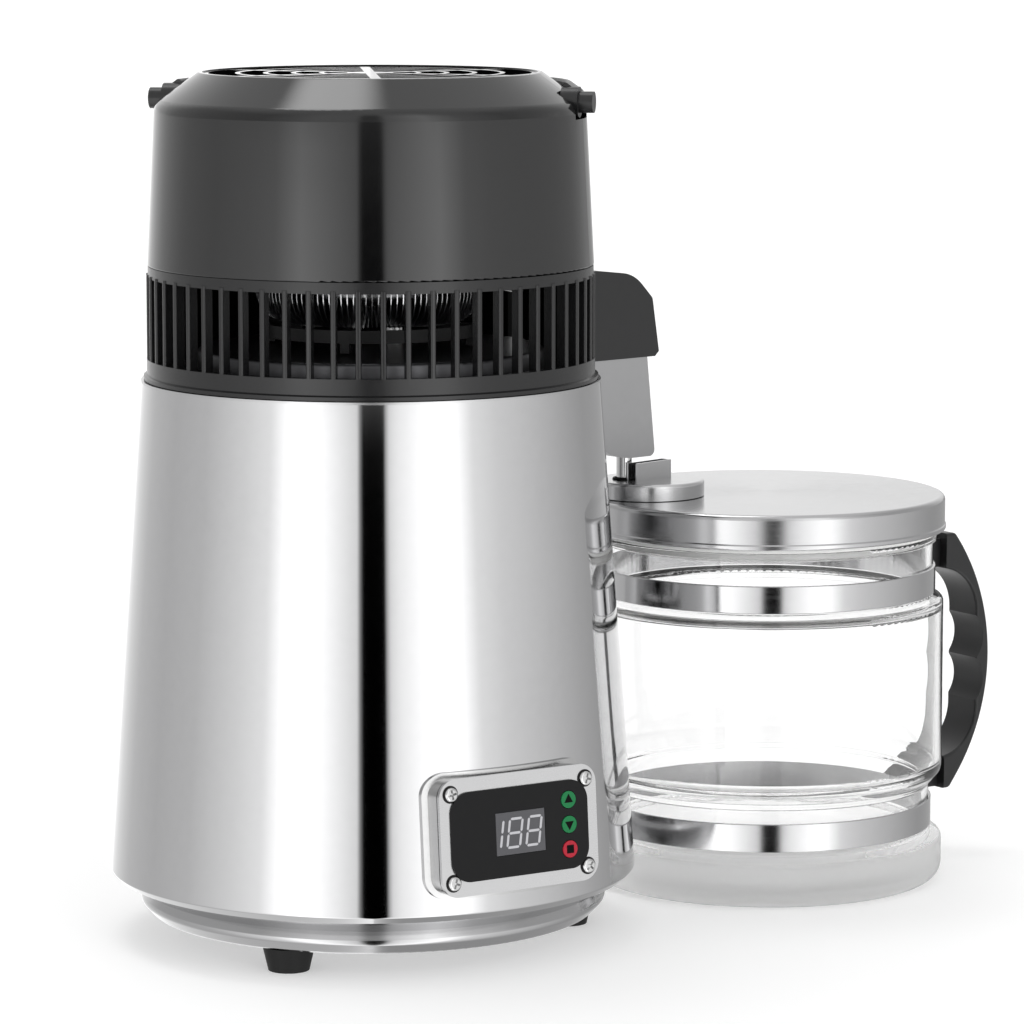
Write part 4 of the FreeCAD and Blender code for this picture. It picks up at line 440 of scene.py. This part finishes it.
FINISHES: dict[Finish, tuple[str, ...]] = {
    Metal("mirror_steel", STEEL, roughness=0.045, spread=0.012): ("outer_shell",),
    Metal("tray_steel", (0.46, 0.46, 0.465), roughness=0.1, grain=Grain.SPUN,
          across=900.0, depth=0.004 * MM): ("base_tray",),
    Metal("pot_steel", STEEL, roughness=0.22, spread=0.06, grain=Grain.SPUN,
          across=1200.0, depth=0.01 * MM): ("inner_chamber", "heater_plate", "thermostat"),
    # The base pan's steel is painted far darker than bare steel: painted shade for the dark
    # inside of the head.
    Metal("pan_steel", (0.1, 0.1, 0.105), roughness=0.3, spread=0.06, grain=Grain.SPUN,
          across=1200.0, depth=0.01 * MM): ("base_pan",),
    # The coil's steel cradle is dressed near black: painted shade, so that it stays dim inside
    # the head.
    Moulding("cradle_painted_shade", (0.003, 0.003, 0.0035), roughness=0.4, specular=0.25):
        ("coil_cradle",),
    Metal("dulled_steel", (0.4, 0.37, 0.35), roughness=0.35, spread=0.1):
        ("heating_element", "fan_motor"),
    Metal("panel_steel", (0.6, 0.6, 0.605), roughness=0.24, grain=Grain.STRAIGHT,
          around=60.0, across=3000.0, depth=0.006 * MM): ("faceplate",),
    Metal("housing_steel", (0.52, 0.52, 0.52), roughness=0.2, spread=0.06, grain=Grain.STRAIGHT,
          around=60.0, across=2500.0, depth=0.005 * MM): ("display_housing",),
    Metal("duct_steel", (0.4, 0.4, 0.405), roughness=0.3, spread=0.04, grain=Grain.STRAIGHT,
          around=60.0, across=2500.0, depth=0.004 * MM): ("nozzle_duct",),
    Metal("spout_chrome", (0.6, 0.6, 0.6), roughness=0.06, spread=0.03): ("spout_tube",),
    Metal("band_steel", (0.5, 0.5, 0.505), roughness=0.1, grain=Grain.SPUN,
          around=4.0, depth=0.004 * MM, centre=JUG_AXIS): ("lower_band", "upper_band"),
    Metal("lid_steel", (0.47, 0.47, 0.475), roughness=0.14, grain=Grain.SPUN,
          around=5.0, across=2200.0, depth=0.008 * MM, centre=JUG_AXIS, stretch=0.55):
        ("jug_lid",),
    Metal("cap_steel", (0.54, 0.54, 0.545), roughness=0.18, spread=0.06, grain=Grain.SPUN,
          around=5.0, across=2200.0, depth=0.008 * MM, centre=CAP_AXIS):
        ("filter_cap", "filter_cup"),
    Metal("coil_steel", (0.5, 0.5, 0.5), roughness=0.14): ("condenser_tube",),
    Moulding("gloss_black", BLACK, roughness=0.07, specular=0.58, coat=0.15, spread=0.02):
        ("head_shell", "fan_grille"),
    Moulding("rib_black", (0.006, 0.006, 0.0065), roughness=0.22, pebble=1400.0,
             depth=0.008 * MM): ("louvre_ring",),
    Moulding("satin_black", (0.009, 0.009, 0.0095), roughness=0.34, specular=0.45,
             pebble=1400.0, depth=0.02 * MM):
        ("fan_frame", "fan_rotor", "fan_inlet", "mains_inlet"),
    Moulding("baffle_black", (0.003, 0.003, 0.003), roughness=0.6, specular=0.1):
        ("air_baffle",),
    Moulding("cover_black", (0.012, 0.012, 0.0125), roughness=0.3, specular=0.45,
             pebble=1600.0, depth=0.012 * MM): ("nozzle_cover", "carry_handle", "pivot_pegs"),
    Moulding("grip_black", (0.01, 0.01, 0.0105), roughness=0.36, specular=0.45,
             pebble=1300.0, depth=0.05 * MM): ("jug_handle",),
    Moulding("foot_rubber", (0.006, 0.006, 0.006), roughness=0.6, specular=0.3,
             pebble=800.0, depth=0.04 * MM): ("rubber_feet",),
    Moulding("silicone", (0.85, 0.85, 0.84), roughness=0.42, specular=0.4,
             pebble=500.0, depth=0.01 * MM): ("boiler_gasket", "lid_gasket"),
    Moulding("board_green", (0.01, 0.07, 0.03), roughness=0.4): ("control_board",),
    Moulding("membrane_black", (0.0035, 0.0035, 0.004), roughness=0.36, specular=0.22,
             pebble=2500.0, depth=0.004 * MM): ("membrane",),
    Moulding("display_grey", (0.085, 0.085, 0.092), roughness=0.34, specular=0.35, spread=0.04):
        ("display_module",),
    Moulding("key_green", (0.004, 0.17, 0.05), roughness=0.34, specular=0.3):
        ("key_up", "key_down"),
    Moulding("key_red", (0.42, 0.012, 0.03), roughness=0.34, specular=0.3): ("key_reset",),
    JugGlass("jug_glass", (0.998, 0.998, 0.998), haze_height=21.5 * MM, haze=0.9):
        ("jug_glass",),
    Lamp("numeral_light", (0.42, 0.42, 0.44), strength=0.4): ("display_numerals",),
}


def dress(piece: bpy.types.Object, material: bpy.types.Material) -> None:
    """Gives a piece one material in every slot it has."""
    if not piece.data.materials:
        piece.data.materials.append(material)
    for index in range(len(piece.data.materials)):
        piece.data.materials[index] = material


def alone(piece: bpy.types.Object | None = None) -> None:
    """Deselects all, then selects one piece and makes it active."""
    bpy.ops.object.select_all(action="DESELECT")
    if piece is not None:
        piece.select_set(True)
        bpy.context.view_layer.objects.active = piece


def settle(piece: bpy.types.Object, place: Matrix) -> None:
    """Moves a piece by a matrix in its mesh and leaves its object at the origin."""
    bpy.context.view_layer.update()
    piece.data.transform(place @ piece.matrix_world)
    piece.matrix_world = Matrix.Identity(4)


def shape(piece: bpy.types.Object, kind: str, **settings: object) -> None:
    """Adds a modifier and applies it.

    Args:
        piece: the mesh object.
        kind: Blender's name for the modifier.
        settings: the modifier's own properties.
    """
    alone(piece)
    modifier = piece.modifiers.new("shaping", kind)
    for name, value in settings.items():
        setattr(modifier, name, value)
    bpy.ops.object.modifier_apply(modifier=modifier.name)


def choose_faces(piece: bpy.types.Object,
                 test: Callable[[bpy.types.MeshPolygon], bool]) -> None:
    """Selects the faces that pass a test and leaves the piece in edit mode.

    Args:
        piece: the mesh object.
        test: takes a face and says whether it is chosen.
    """
    alone(piece)
    bpy.ops.object.mode_set(mode="EDIT")
    bpy.ops.mesh.select_mode(type="FACE")
    bpy.ops.mesh.select_all(action="DESELECT")
    bpy.ops.object.mode_set(mode="OBJECT")
    for face in piece.data.polygons:
        face.select = test(face)
    bpy.ops.object.mode_set(mode="EDIT")


def leave_edit(piece: bpy.types.Object, angle: float = 35.0) -> None:
    """Ends edit mode and smooths the piece's shading below an angle."""
    bpy.ops.object.mode_set(mode="OBJECT")
    alone(piece)
    bpy.ops.object.shade_smooth_by_angle(angle=math.radians(angle))


def copies(model: bpy.types.Object, places: list[Matrix], name: str) -> bpy.types.Object:
    """Repeats a model at each place and joins the copies into one piece.

    Args:
        model: the piece to repeat. It is removed.
        places: where each copy goes.
        name: the joined piece's name.

    Returns:
        The joined piece.
    """
    made = []
    for place in places:
        copy = model.copy()
        copy.data = model.data.copy()
        bpy.context.scene.collection.objects.link(copy)
        settle(copy, place)
        made.append(copy)
    bpy.data.objects.remove(model)
    alone(made[0])
    for copy in made:
        copy.select_set(True)
    bpy.ops.object.join()
    joined = bpy.context.view_layer.objects.active
    joined.name = name
    joined.data.name = name
    return joined


def washer(outer: float, inner: float, gauge: float, sides: int) -> bpy.types.Object:
    """Models a flat ring about Z at the origin.

    Args:
        outer: its outer radius.
        inner: its hole's radius.
        gauge: its thickness.
        sides: how many sides it has.

    Returns:
        The ring.
    """
    alone()
    bpy.ops.mesh.primitive_cylinder_add(vertices=sides, radius=outer, depth=gauge)
    ring = bpy.context.object
    choose_faces(ring, lambda face: abs(face.normal.z) > FACING)
    bpy.ops.mesh.inset(thickness=outer - inner, use_individual=True)
    bpy.ops.mesh.bridge_edge_loops()
    leave_edit(ring, 40.0)
    return ring


@dataclass
class CrossHeadScrews:
    """Pan head screws with a cross recess, on the display panel and on the mains inlet.

    Each screw was driven to its own angle, which panel_angles and inlet_angles work out from
    where it sits.
    """

    head_sides: int = 40
    head_radius: float = 3.0 * MM
    head_height: float = 1.8 * MM
    dome_share: float = 0.62
    dome_profile: float = 0.6
    shank_radius: float = 1.4 * MM
    shank_length: float = 5.6 * MM
    slot_length: float = 4.2 * MM
    slot_width: float = 0.95 * MM
    slot_depth: float = 1.5 * MM
    panel_columns: tuple[float, float] = (-33.5 * MM, 33.5 * MM)
    panel_rows: tuple[float, float] = (-18.6 * MM, 18.6 * MM)
    panel_angles: tuple[float, float, float] = (0.5, 40.0, 55.0)
    # Size of the near-black rings of painted shadow round the panel's screws.
    shade_radius: float = 3.75 * MM
    shade_lap: float = 0.3 * MM
    shade_gauge: float = 0.12 * MM
    inlet_columns: tuple[float, float] = (-20.0 * MM, 20.0 * MM)
    inlet_seat: tuple[float, float] = (117.2 * MM, 62.0 * MM)
    inlet_angles: tuple[float, float] = (0.3, 30.0)

    def model(self) -> bpy.types.Object:
        """Models one screw along +Z with its head standing on the origin."""
        alone()
        bpy.ops.mesh.primitive_cylinder_add(
            vertices=self.head_sides, radius=self.head_radius, depth=self.head_height,
            location=(0, 0, self.head_height / 2))
        screw = bpy.context.object
        choose_faces(screw, lambda face: face.normal.z > FACING)
        bpy.ops.mesh.bevel(offset=self.head_height * self.dome_share, segments=5,
                           profile=self.dome_profile)
        bpy.ops.object.mode_set(mode="OBJECT")
        choose_faces(screw, lambda face: face.normal.z < -FACING)
        bpy.ops.mesh.inset(thickness=self.head_radius - self.shank_radius)
        down = {"value": (0, 0, -self.shank_length)}
        bpy.ops.mesh.extrude_region_move(TRANSFORM_OT_translate=down)
        bpy.ops.object.mode_set(mode="OBJECT")
        size = Matrix.Diagonal((self.slot_length, self.slot_width, self.slot_depth * 2, 1.0))
        top = Matrix.Translation((0, 0, self.head_height))
        for turn in (0.0, math.pi / 2):
            alone()
            bpy.ops.mesh.primitive_cube_add(size=1.0)
            cutter = bpy.context.object
            cutter.data.transform(size)
            settle(cutter, top @ Matrix.Rotation(turn, 4, "Z"))
            shape(screw, "BOOLEAN", operation="DIFFERENCE", object=cutter, solver="EXACT")
            bpy.data.objects.remove(cutter)
        leave_edit(screw, 40.0)
        return screw

    def build(self, panel: Matrix, finish: bpy.types.Material) -> list[bpy.types.Object]:
        """Makes both sets of screws, and the rings of painted shade round the panel's screws.

        Args:
            panel: where the display panel's face is.
            finish: the screws' material.

        Returns:
            The pieces made.
        """
        start, along, up = self.panel_angles
        seats = [panel @ Matrix.Translation((x, y, 0)) @
                 Matrix.Rotation(start + along * x + up * y, 4, "Z")
                 for x in self.panel_columns for y in self.panel_rows]
        on_panel = copies(self.model(), seats, "panel_screws")
        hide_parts("faceplate_screws")
        outward = Matrix.Rotation(math.radians(-90), 4, "X")
        start, along = self.inlet_angles
        seats = [Matrix.Translation((x, *self.inlet_seat)) @ outward @
                 Matrix.Rotation(start + along * x, 4, "Z")
                 for x in self.inlet_columns]
        on_inlet = copies(self.model(), seats, "mains_screws")
        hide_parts("inlet_screws")
        for piece in (on_panel, on_inlet):
            dress(piece, finish)
            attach(piece, "boiler")
        return [on_panel, on_inlet, self.seat_shade(panel)]

    def seat_shade(self, panel: Matrix) -> bpy.types.Object:
        """Makes thin near-black rings of painted shadow round the panel's screws, where the gaps
        of their pressed seats fall in shade.

        Args:
            panel: where the display panel's face is.

        Returns:
            The piece made.
        """
        # A thin near-black ring under each panel screw's head: painted shadow of the seat's gap.
        shade_ring = washer(self.shade_radius, self.head_radius - self.shade_lap, self.shade_gauge, 36)
        seats = [panel @ Matrix.Translation((x, y, self.shade_gauge / 2))
                 for x in self.panel_columns for y in self.panel_rows]
        shade_rings = copies(shade_ring, seats, "screw_seat_shade")
        dress(shade_rings, Metal("seat_shadow", (0.03, 0.03, 0.03), roughness=0.4).build())
        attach(shade_rings, "boiler")
        return shade_rings


@dataclass
class KeyMarks:
    """Printed signs on the three keys: a triangle up, a triangle down and a plain square."""

    column: float = 24.3 * MM
    pitch: float = 10.5 * MM
    top: float = 1.1 * MM
    size: float = 2.45 * MM
    corner_share: float = 0.04
    gauge: float = 0.06 * MM

    def build(self, panel: Matrix, finish: bpy.types.Material) -> list[bpy.types.Object]:
        """Makes one sign on each key.

        Args:
            panel: where the display panel's face is.
            finish: the print's material.

        Returns:
            The pieces made.
        """
        made = []
        signs = (("up", 1, 3, 90), ("down", 0, 3, -90), ("reset", -1, 4, 45))
        for name, row, corners, turn in signs:
            alone()
            bpy.ops.mesh.primitive_cylinder_add(vertices=corners, radius=self.size,
                                                depth=self.gauge)
            mark = bpy.context.object
            bpy.ops.object.mode_set(mode="EDIT")
            bpy.ops.mesh.select_all(action="SELECT")
            bpy.ops.mesh.bevel(offset=self.size * self.corner_share, segments=2)
            leave_edit(mark)
            spin = Matrix.Rotation(math.radians(turn) - math.atan2(*self.lead(mark)), 4, "Z")
            lift = Matrix.Translation((self.column, row * self.pitch, self.top + self.gauge / 2))
            settle(mark, panel @ lift @ spin)
            mark.name = mark.data.name = name + "_sign"
            dress(mark, finish)
            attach(mark, name + "_key")
            made.append(mark)
        return made

    @staticmethod
    def lead(mark: bpy.types.Object) -> tuple[float, float]:
        """Gives the y and x of the corner that stands furthest out."""
        tip = max(mark.data.vertices,
                  key=lambda point: (round(point.co.xy.length, 7), point.co.y, point.co.x))
        return tip.co.y, tip.co.x


@dataclass
class FineFins:
    """Closely set cooling fins on both turns of the condenser, finer than the solid model's."""

    coil_radius: float = 35.5 * MM
    fin_radius: float = 14.5 * MM
    tube_radius: float = 4.75 * MM
    gauge: float = 0.4 * MM
    pitch: float = 1.9 * MM
    sides: int = 30
    levels: tuple[float, float] = (283.2 * MM, 313.2 * MM)
    first: float = 40.0
    arc: float = 271.5

    def build(self, finish: bpy.types.Material) -> list[bpy.types.Object]:
        """Makes all the fins as one piece.

        Args:
            finish: the fins' material.

        Returns:
            The piece made.
        """
        fin = washer(self.fin_radius, self.tube_radius, self.gauge, self.sides)
        places = []
        step = math.degrees(self.pitch / self.coil_radius)
        for level in self.levels:
            for index in range(int(self.arc / step) + 1):
                azimuth = math.radians(self.first + index * step)
                turn = Matrix.Rotation(azimuth, 4, "Z")
                places.append(turn @ Matrix.Translation((self.coil_radius, 0, level)) @
                              Matrix.Rotation(math.pi / 2, 4, "X"))
        fins = copies(fin, places, "fine_fins")
        dress(fins, finish)
        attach(fins, "head")
        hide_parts("condenser_fins")
        return [fins]


@dataclass
class CapTrim:
    """Black seal round the spout's hole in the filter cap, and the domed rivet of its tab."""

    seal_place: tuple[float, float, float] = (148.57 * MM, 22.73 * MM, 186.6 * MM)
    seal_radius: float = 4.75 * MM
    seal_thickness: float = 0.62 * MM
    seal_stretch: float = 1.5
    rivet_place: tuple[float, float, float] = (159.8 * MM, 18.4 * MM, 186.5 * MM)
    rivet_radius: float = 1.5 * MM
    rivet_flatness: float = 0.5

    def build(self, seal_finish: bpy.types.Material,
              rivet_finish: bpy.types.Material) -> list[bpy.types.Object]:
        """Makes the seal and the rivet.

        Args:
            seal_finish: the seal's material.
            rivet_finish: the rivet's material.

        Returns:
            The pieces made.
        """
        alone()
        bpy.ops.mesh.primitive_torus_add(
            major_radius=self.seal_radius, minor_radius=self.seal_thickness,
            major_segments=48, minor_segments=14)
        seal = bpy.context.object
        seal.data.transform(Matrix.Diagonal((1.0, 1.0, self.seal_stretch, 1.0)))
        leave_edit(seal, 60.0)
        settle(seal, Matrix.Translation(self.seal_place))
        seal.name = seal.data.name = "spout_seal"
        alone()
        bpy.ops.mesh.primitive_uv_sphere_add(segments=24, ring_count=12, radius=self.rivet_radius)
        rivet = bpy.context.object
        alone(rivet)
        bpy.ops.object.mode_set(mode="EDIT")
        bpy.ops.mesh.select_all(action="SELECT")
        bpy.ops.mesh.bisect(plane_co=(0, 0, 0), plane_no=(0, 0, 1), clear_inner=True,
                            use_fill=True)
        leave_edit(rivet, 60.0)
        rivet.data.transform(Matrix.Diagonal((1.0, 1.0, self.rivet_flatness, 1.0)))
        settle(rivet, Matrix.Translation(self.rivet_place))
        rivet.name = rivet.data.name = "tab_rivet"
        dressing = ((seal, seal_finish, "foot_rubber"), (rivet, rivet_finish, "filter_steel"))
        for piece, finish, slot in dressing:
            dress(piece, finish)
            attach(piece, "filter")
        return [seal, rivet]


@dataclass
class Studio:
    """Pale floor, soft light all round with one box overhead, and the photograph's camera.

    The light's level goes round the object by the angle from the camera, in degrees, first at
    the floor's height and then, above low_edge, a second time. Above high_edge it is even.
    """

    camera_place: tuple[float, float, float] = (-1.0468, -1.7240, 0.4593)
    camera_turn: tuple[float, float, float] = (82.25, 0.0, -33.0)
    lens: float = 164.14
    floor_size: float = 60.0
    level_stops: tuple[tuple[float, float], ...] = (
        (-180.0, 0.95), (-170.0, 0.6), (-160.0, 0.48), (-128.0, 0.52), (-112.0, 0.64),
        (-80.0, 0.95), (-64.0, 1.1), (-50.0, 1.35), (-36.0, 2.5), (-26.0, 2.1), (-12.0, 1.55),
        (-7.5, 1.2), (-6.2, 0.0), (5.4, 0.0), (6.2, 1.2), (12.0, 1.45), (26.0, 2.1),
        (36.0, 2.5), (50.0, 1.4), (64.0, 1.15), (88.0, 0.82), (112.0, 0.72), (135.0, 0.8),
        (160.0, 1.1), (180.0, 1.6),
    )
    raised_stops: tuple[tuple[float, float], ...] = (
        (-180.0, 1.1), (-165.0, 1.0), (-130.0, 0.6), (-80.0, 0.6), (-50.0, 1.0), (-30.0, 1.9),
        (-8.0, 1.1), (-4.0, 0.4), (4.0, 0.4), (8.0, 1.0), (30.0, 1.1), (60.0, 0.6),
        (130.0, 0.6), (165.0, 1.0), (180.0, 1.1),
    )
    top_level: float = 0.95
    low_edge: tuple[float, float] = (0.02, 0.07)
    high_edge: tuple[float, float] = (0.6, 0.95)
    box_way: tuple[float, float, float] = (-0.03, 0.29, 0.96)
    box_edge: tuple[float, float] = (0.968, 0.994)
    box_level: float = 4.2
    floor_colour: tuple[float, float, float] = (0.72, 0.72, 0.72)
    floor_roughness: float = 0.7
    floor_specular: float = 0.1
    glow: float = 0.38

    def floor(self) -> None:
        """Lays the floor, which the glossy pieces don't mirror."""
        alone()
        bpy.ops.mesh.primitive_plane_add(size=self.floor_size)
        ground = bpy.context.object
        ground.name = "floor"
        material, _, shader, _ = blank_material("pale_floor")
        shader.inputs["Base Color"].default_value = (*self.floor_colour, 1.0)
        shader.inputs["Roughness"].default_value = self.floor_roughness
        shader.inputs["Specular IOR Level"].default_value = self.floor_specular
        shader.inputs["Emission Color"].default_value = (1.0, 1.0, 1.0, 1.0)
        shader.inputs["Emission Strength"].default_value = self.glow
        ground.data.materials.append(material)
        ground.visible_glossy = False

    @staticmethod
    def mix(web: Web, share: object, first: object, second: object) -> bpy.types.NodeSocket:
        """Goes from a first level to a second by a share."""
        node = web.tree.nodes.new("ShaderNodeMix")
        web.feed(node.inputs["Factor"], share)
        web.feed(node.inputs["A"], first)
        web.feed(node.inputs["B"], second)
        return node.outputs["Result"]

    @staticmethod
    def step(web: Web, value: object, start: float, end: float) -> bpy.types.NodeSocket:
        """Goes smoothly from 0 at a start to 1 at an end."""
        node = web.tree.nodes.new("ShaderNodeMapRange")
        node.interpolation_type = "SMOOTHSTEP"
        web.feed(node.inputs["Value"], value)
        node.inputs["From Min"].default_value = start
        node.inputs["From Max"].default_value = end
        return node.outputs["Result"]

    @staticmethod
    def ring(web: Web, share: object,
             levels: tuple[tuple[float, float], ...]) -> bpy.types.NodeSocket:
        """Makes light whose level follows the angle from the camera.

        Args:
            web: the world's web.
            share: the angle from the camera, from 0 at -180 degrees to 1 at 180 degrees.
            levels: angles in degrees and the light's level there.

        Returns:
            The level's output.
        """
        peak = max(level for _, level in levels)
        ramp = web.add("ShaderNodeValToRGB", Fac=share)
        stops = ramp.color_ramp.elements
        while len(stops) > 1:
            stops.remove(stops[-1])
        for index, (angle, level) in enumerate(levels):
            place = (angle + 180.0) / 360.0
            grey = level / peak
            stop = stops[0] if index == 0 else stops.new(place)
            stop.position = place
            stop.color = (grey, grey, grey, 1.0)
        return web.sum("MULTIPLY", ramp.outputs["Color"], peak)

    def light(self) -> None:
        """Wraps the studio's soft light round the object."""
        world = bpy.data.worlds.new("studio")
        bpy.context.scene.world = world
        world.use_nodes = True
        web = Web(world.node_tree)
        way = web.add("ShaderNodeTexCoord").outputs["Generated"]
        parts = web.add("ShaderNodeSeparateXYZ", Vector=way)
        x, y, z = parts.outputs
        middle = math.atan2(self.camera_place[1], self.camera_place[0])
        turned = web.sum("SUBTRACT", middle, web.sum("ARCTAN2", y, x))
        wrapped = web.sum("WRAP", turned, math.pi, -math.pi)
        share = web.sum("ADD", web.sum("DIVIDE", wrapped, 2 * math.pi), 0.5)
        low = self.ring(web, share, self.level_stops)
        raised = self.ring(web, share, self.raised_stops)
        around = self.mix(web, self.step(web, z, *self.low_edge), low, raised)
        above = self.mix(web, self.step(web, z, *self.high_edge), around, self.top_level)
        facing = web.tree.nodes.new("ShaderNodeVectorMath")
        facing.operation = "DOT_PRODUCT"
        web.feed(facing.inputs[0], way)
        facing.inputs[1].default_value = Vector(self.box_way).normalized()
        box = self.step(web, facing.outputs["Value"], *self.box_edge)
        lit = self.mix(web, box, above, self.box_level)
        seen = web.tree.nodes.new("ShaderNodeLightPath").outputs["Is Camera Ray"]
        final = self.mix(web, seen, lit, 1.0)
        web.feed(world.node_tree.nodes["Background"].inputs["Color"], final)

    def camera(self) -> None:
        """Stands the camera where the photograph was taken from."""
        data = bpy.data.cameras.new("photo_camera")
        data.lens = self.lens
        data.clip_end = 200.0
        camera = bpy.data.objects.new("photo_camera", data)
        camera.location = self.camera_place
        camera.rotation_euler = [math.radians(angle) for angle in self.camera_turn]
        bpy.context.scene.collection.objects.link(camera)
        bpy.context.scene.camera = camera

    def build(self) -> None:
        """Sets up the whole studio."""
        self.floor()
        self.light()
        self.camera()
        bpy.context.scene.view_settings.view_transform = "Standard"


def panel_place() -> Matrix:
    """Gives the place of the display panel's face, whose Z points out of the panel."""
    lean = math.radians(90 - PANEL_LEAN)
    middle = Matrix.Translation((0, -PANEL_REACH, PANEL_HEIGHT))
    return middle @ Matrix.Rotation(lean, 4, "X")


def main() -> None:
    """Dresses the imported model, adds the fine trim and sets up the studio."""
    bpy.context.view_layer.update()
    for finish, nodes in FINISHES.items():
        material = finish.build()
        for node in nodes:
            dress(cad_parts[node], material)
            log.info("%s dressed in %s", node, finish.name)
    panel = panel_place()
    screw_steel = Metal("screw_steel", (0.62, 0.62, 0.62), roughness=0.12).build()
    print_black = Moulding("print_black", (0.001, 0.001, 0.001), roughness=0.5,
                           specular=0.1).build()
    fin_metal = Metal("fin_metal", (0.7, 0.7, 0.71), roughness=0.2, spread=0.06).build()
    made = CrossHeadScrews().build(panel, screw_steel)
    made += KeyMarks().build(panel, print_black)
    made += FineFins().build(fin_metal)
    made += CapTrim().build(print_black, screw_steel)
    for piece in made:
        log.info("%s: %d faces", piece.name, len(piece.data.polygons))
    Studio().build()


if __name__ == "__main__":
    main()
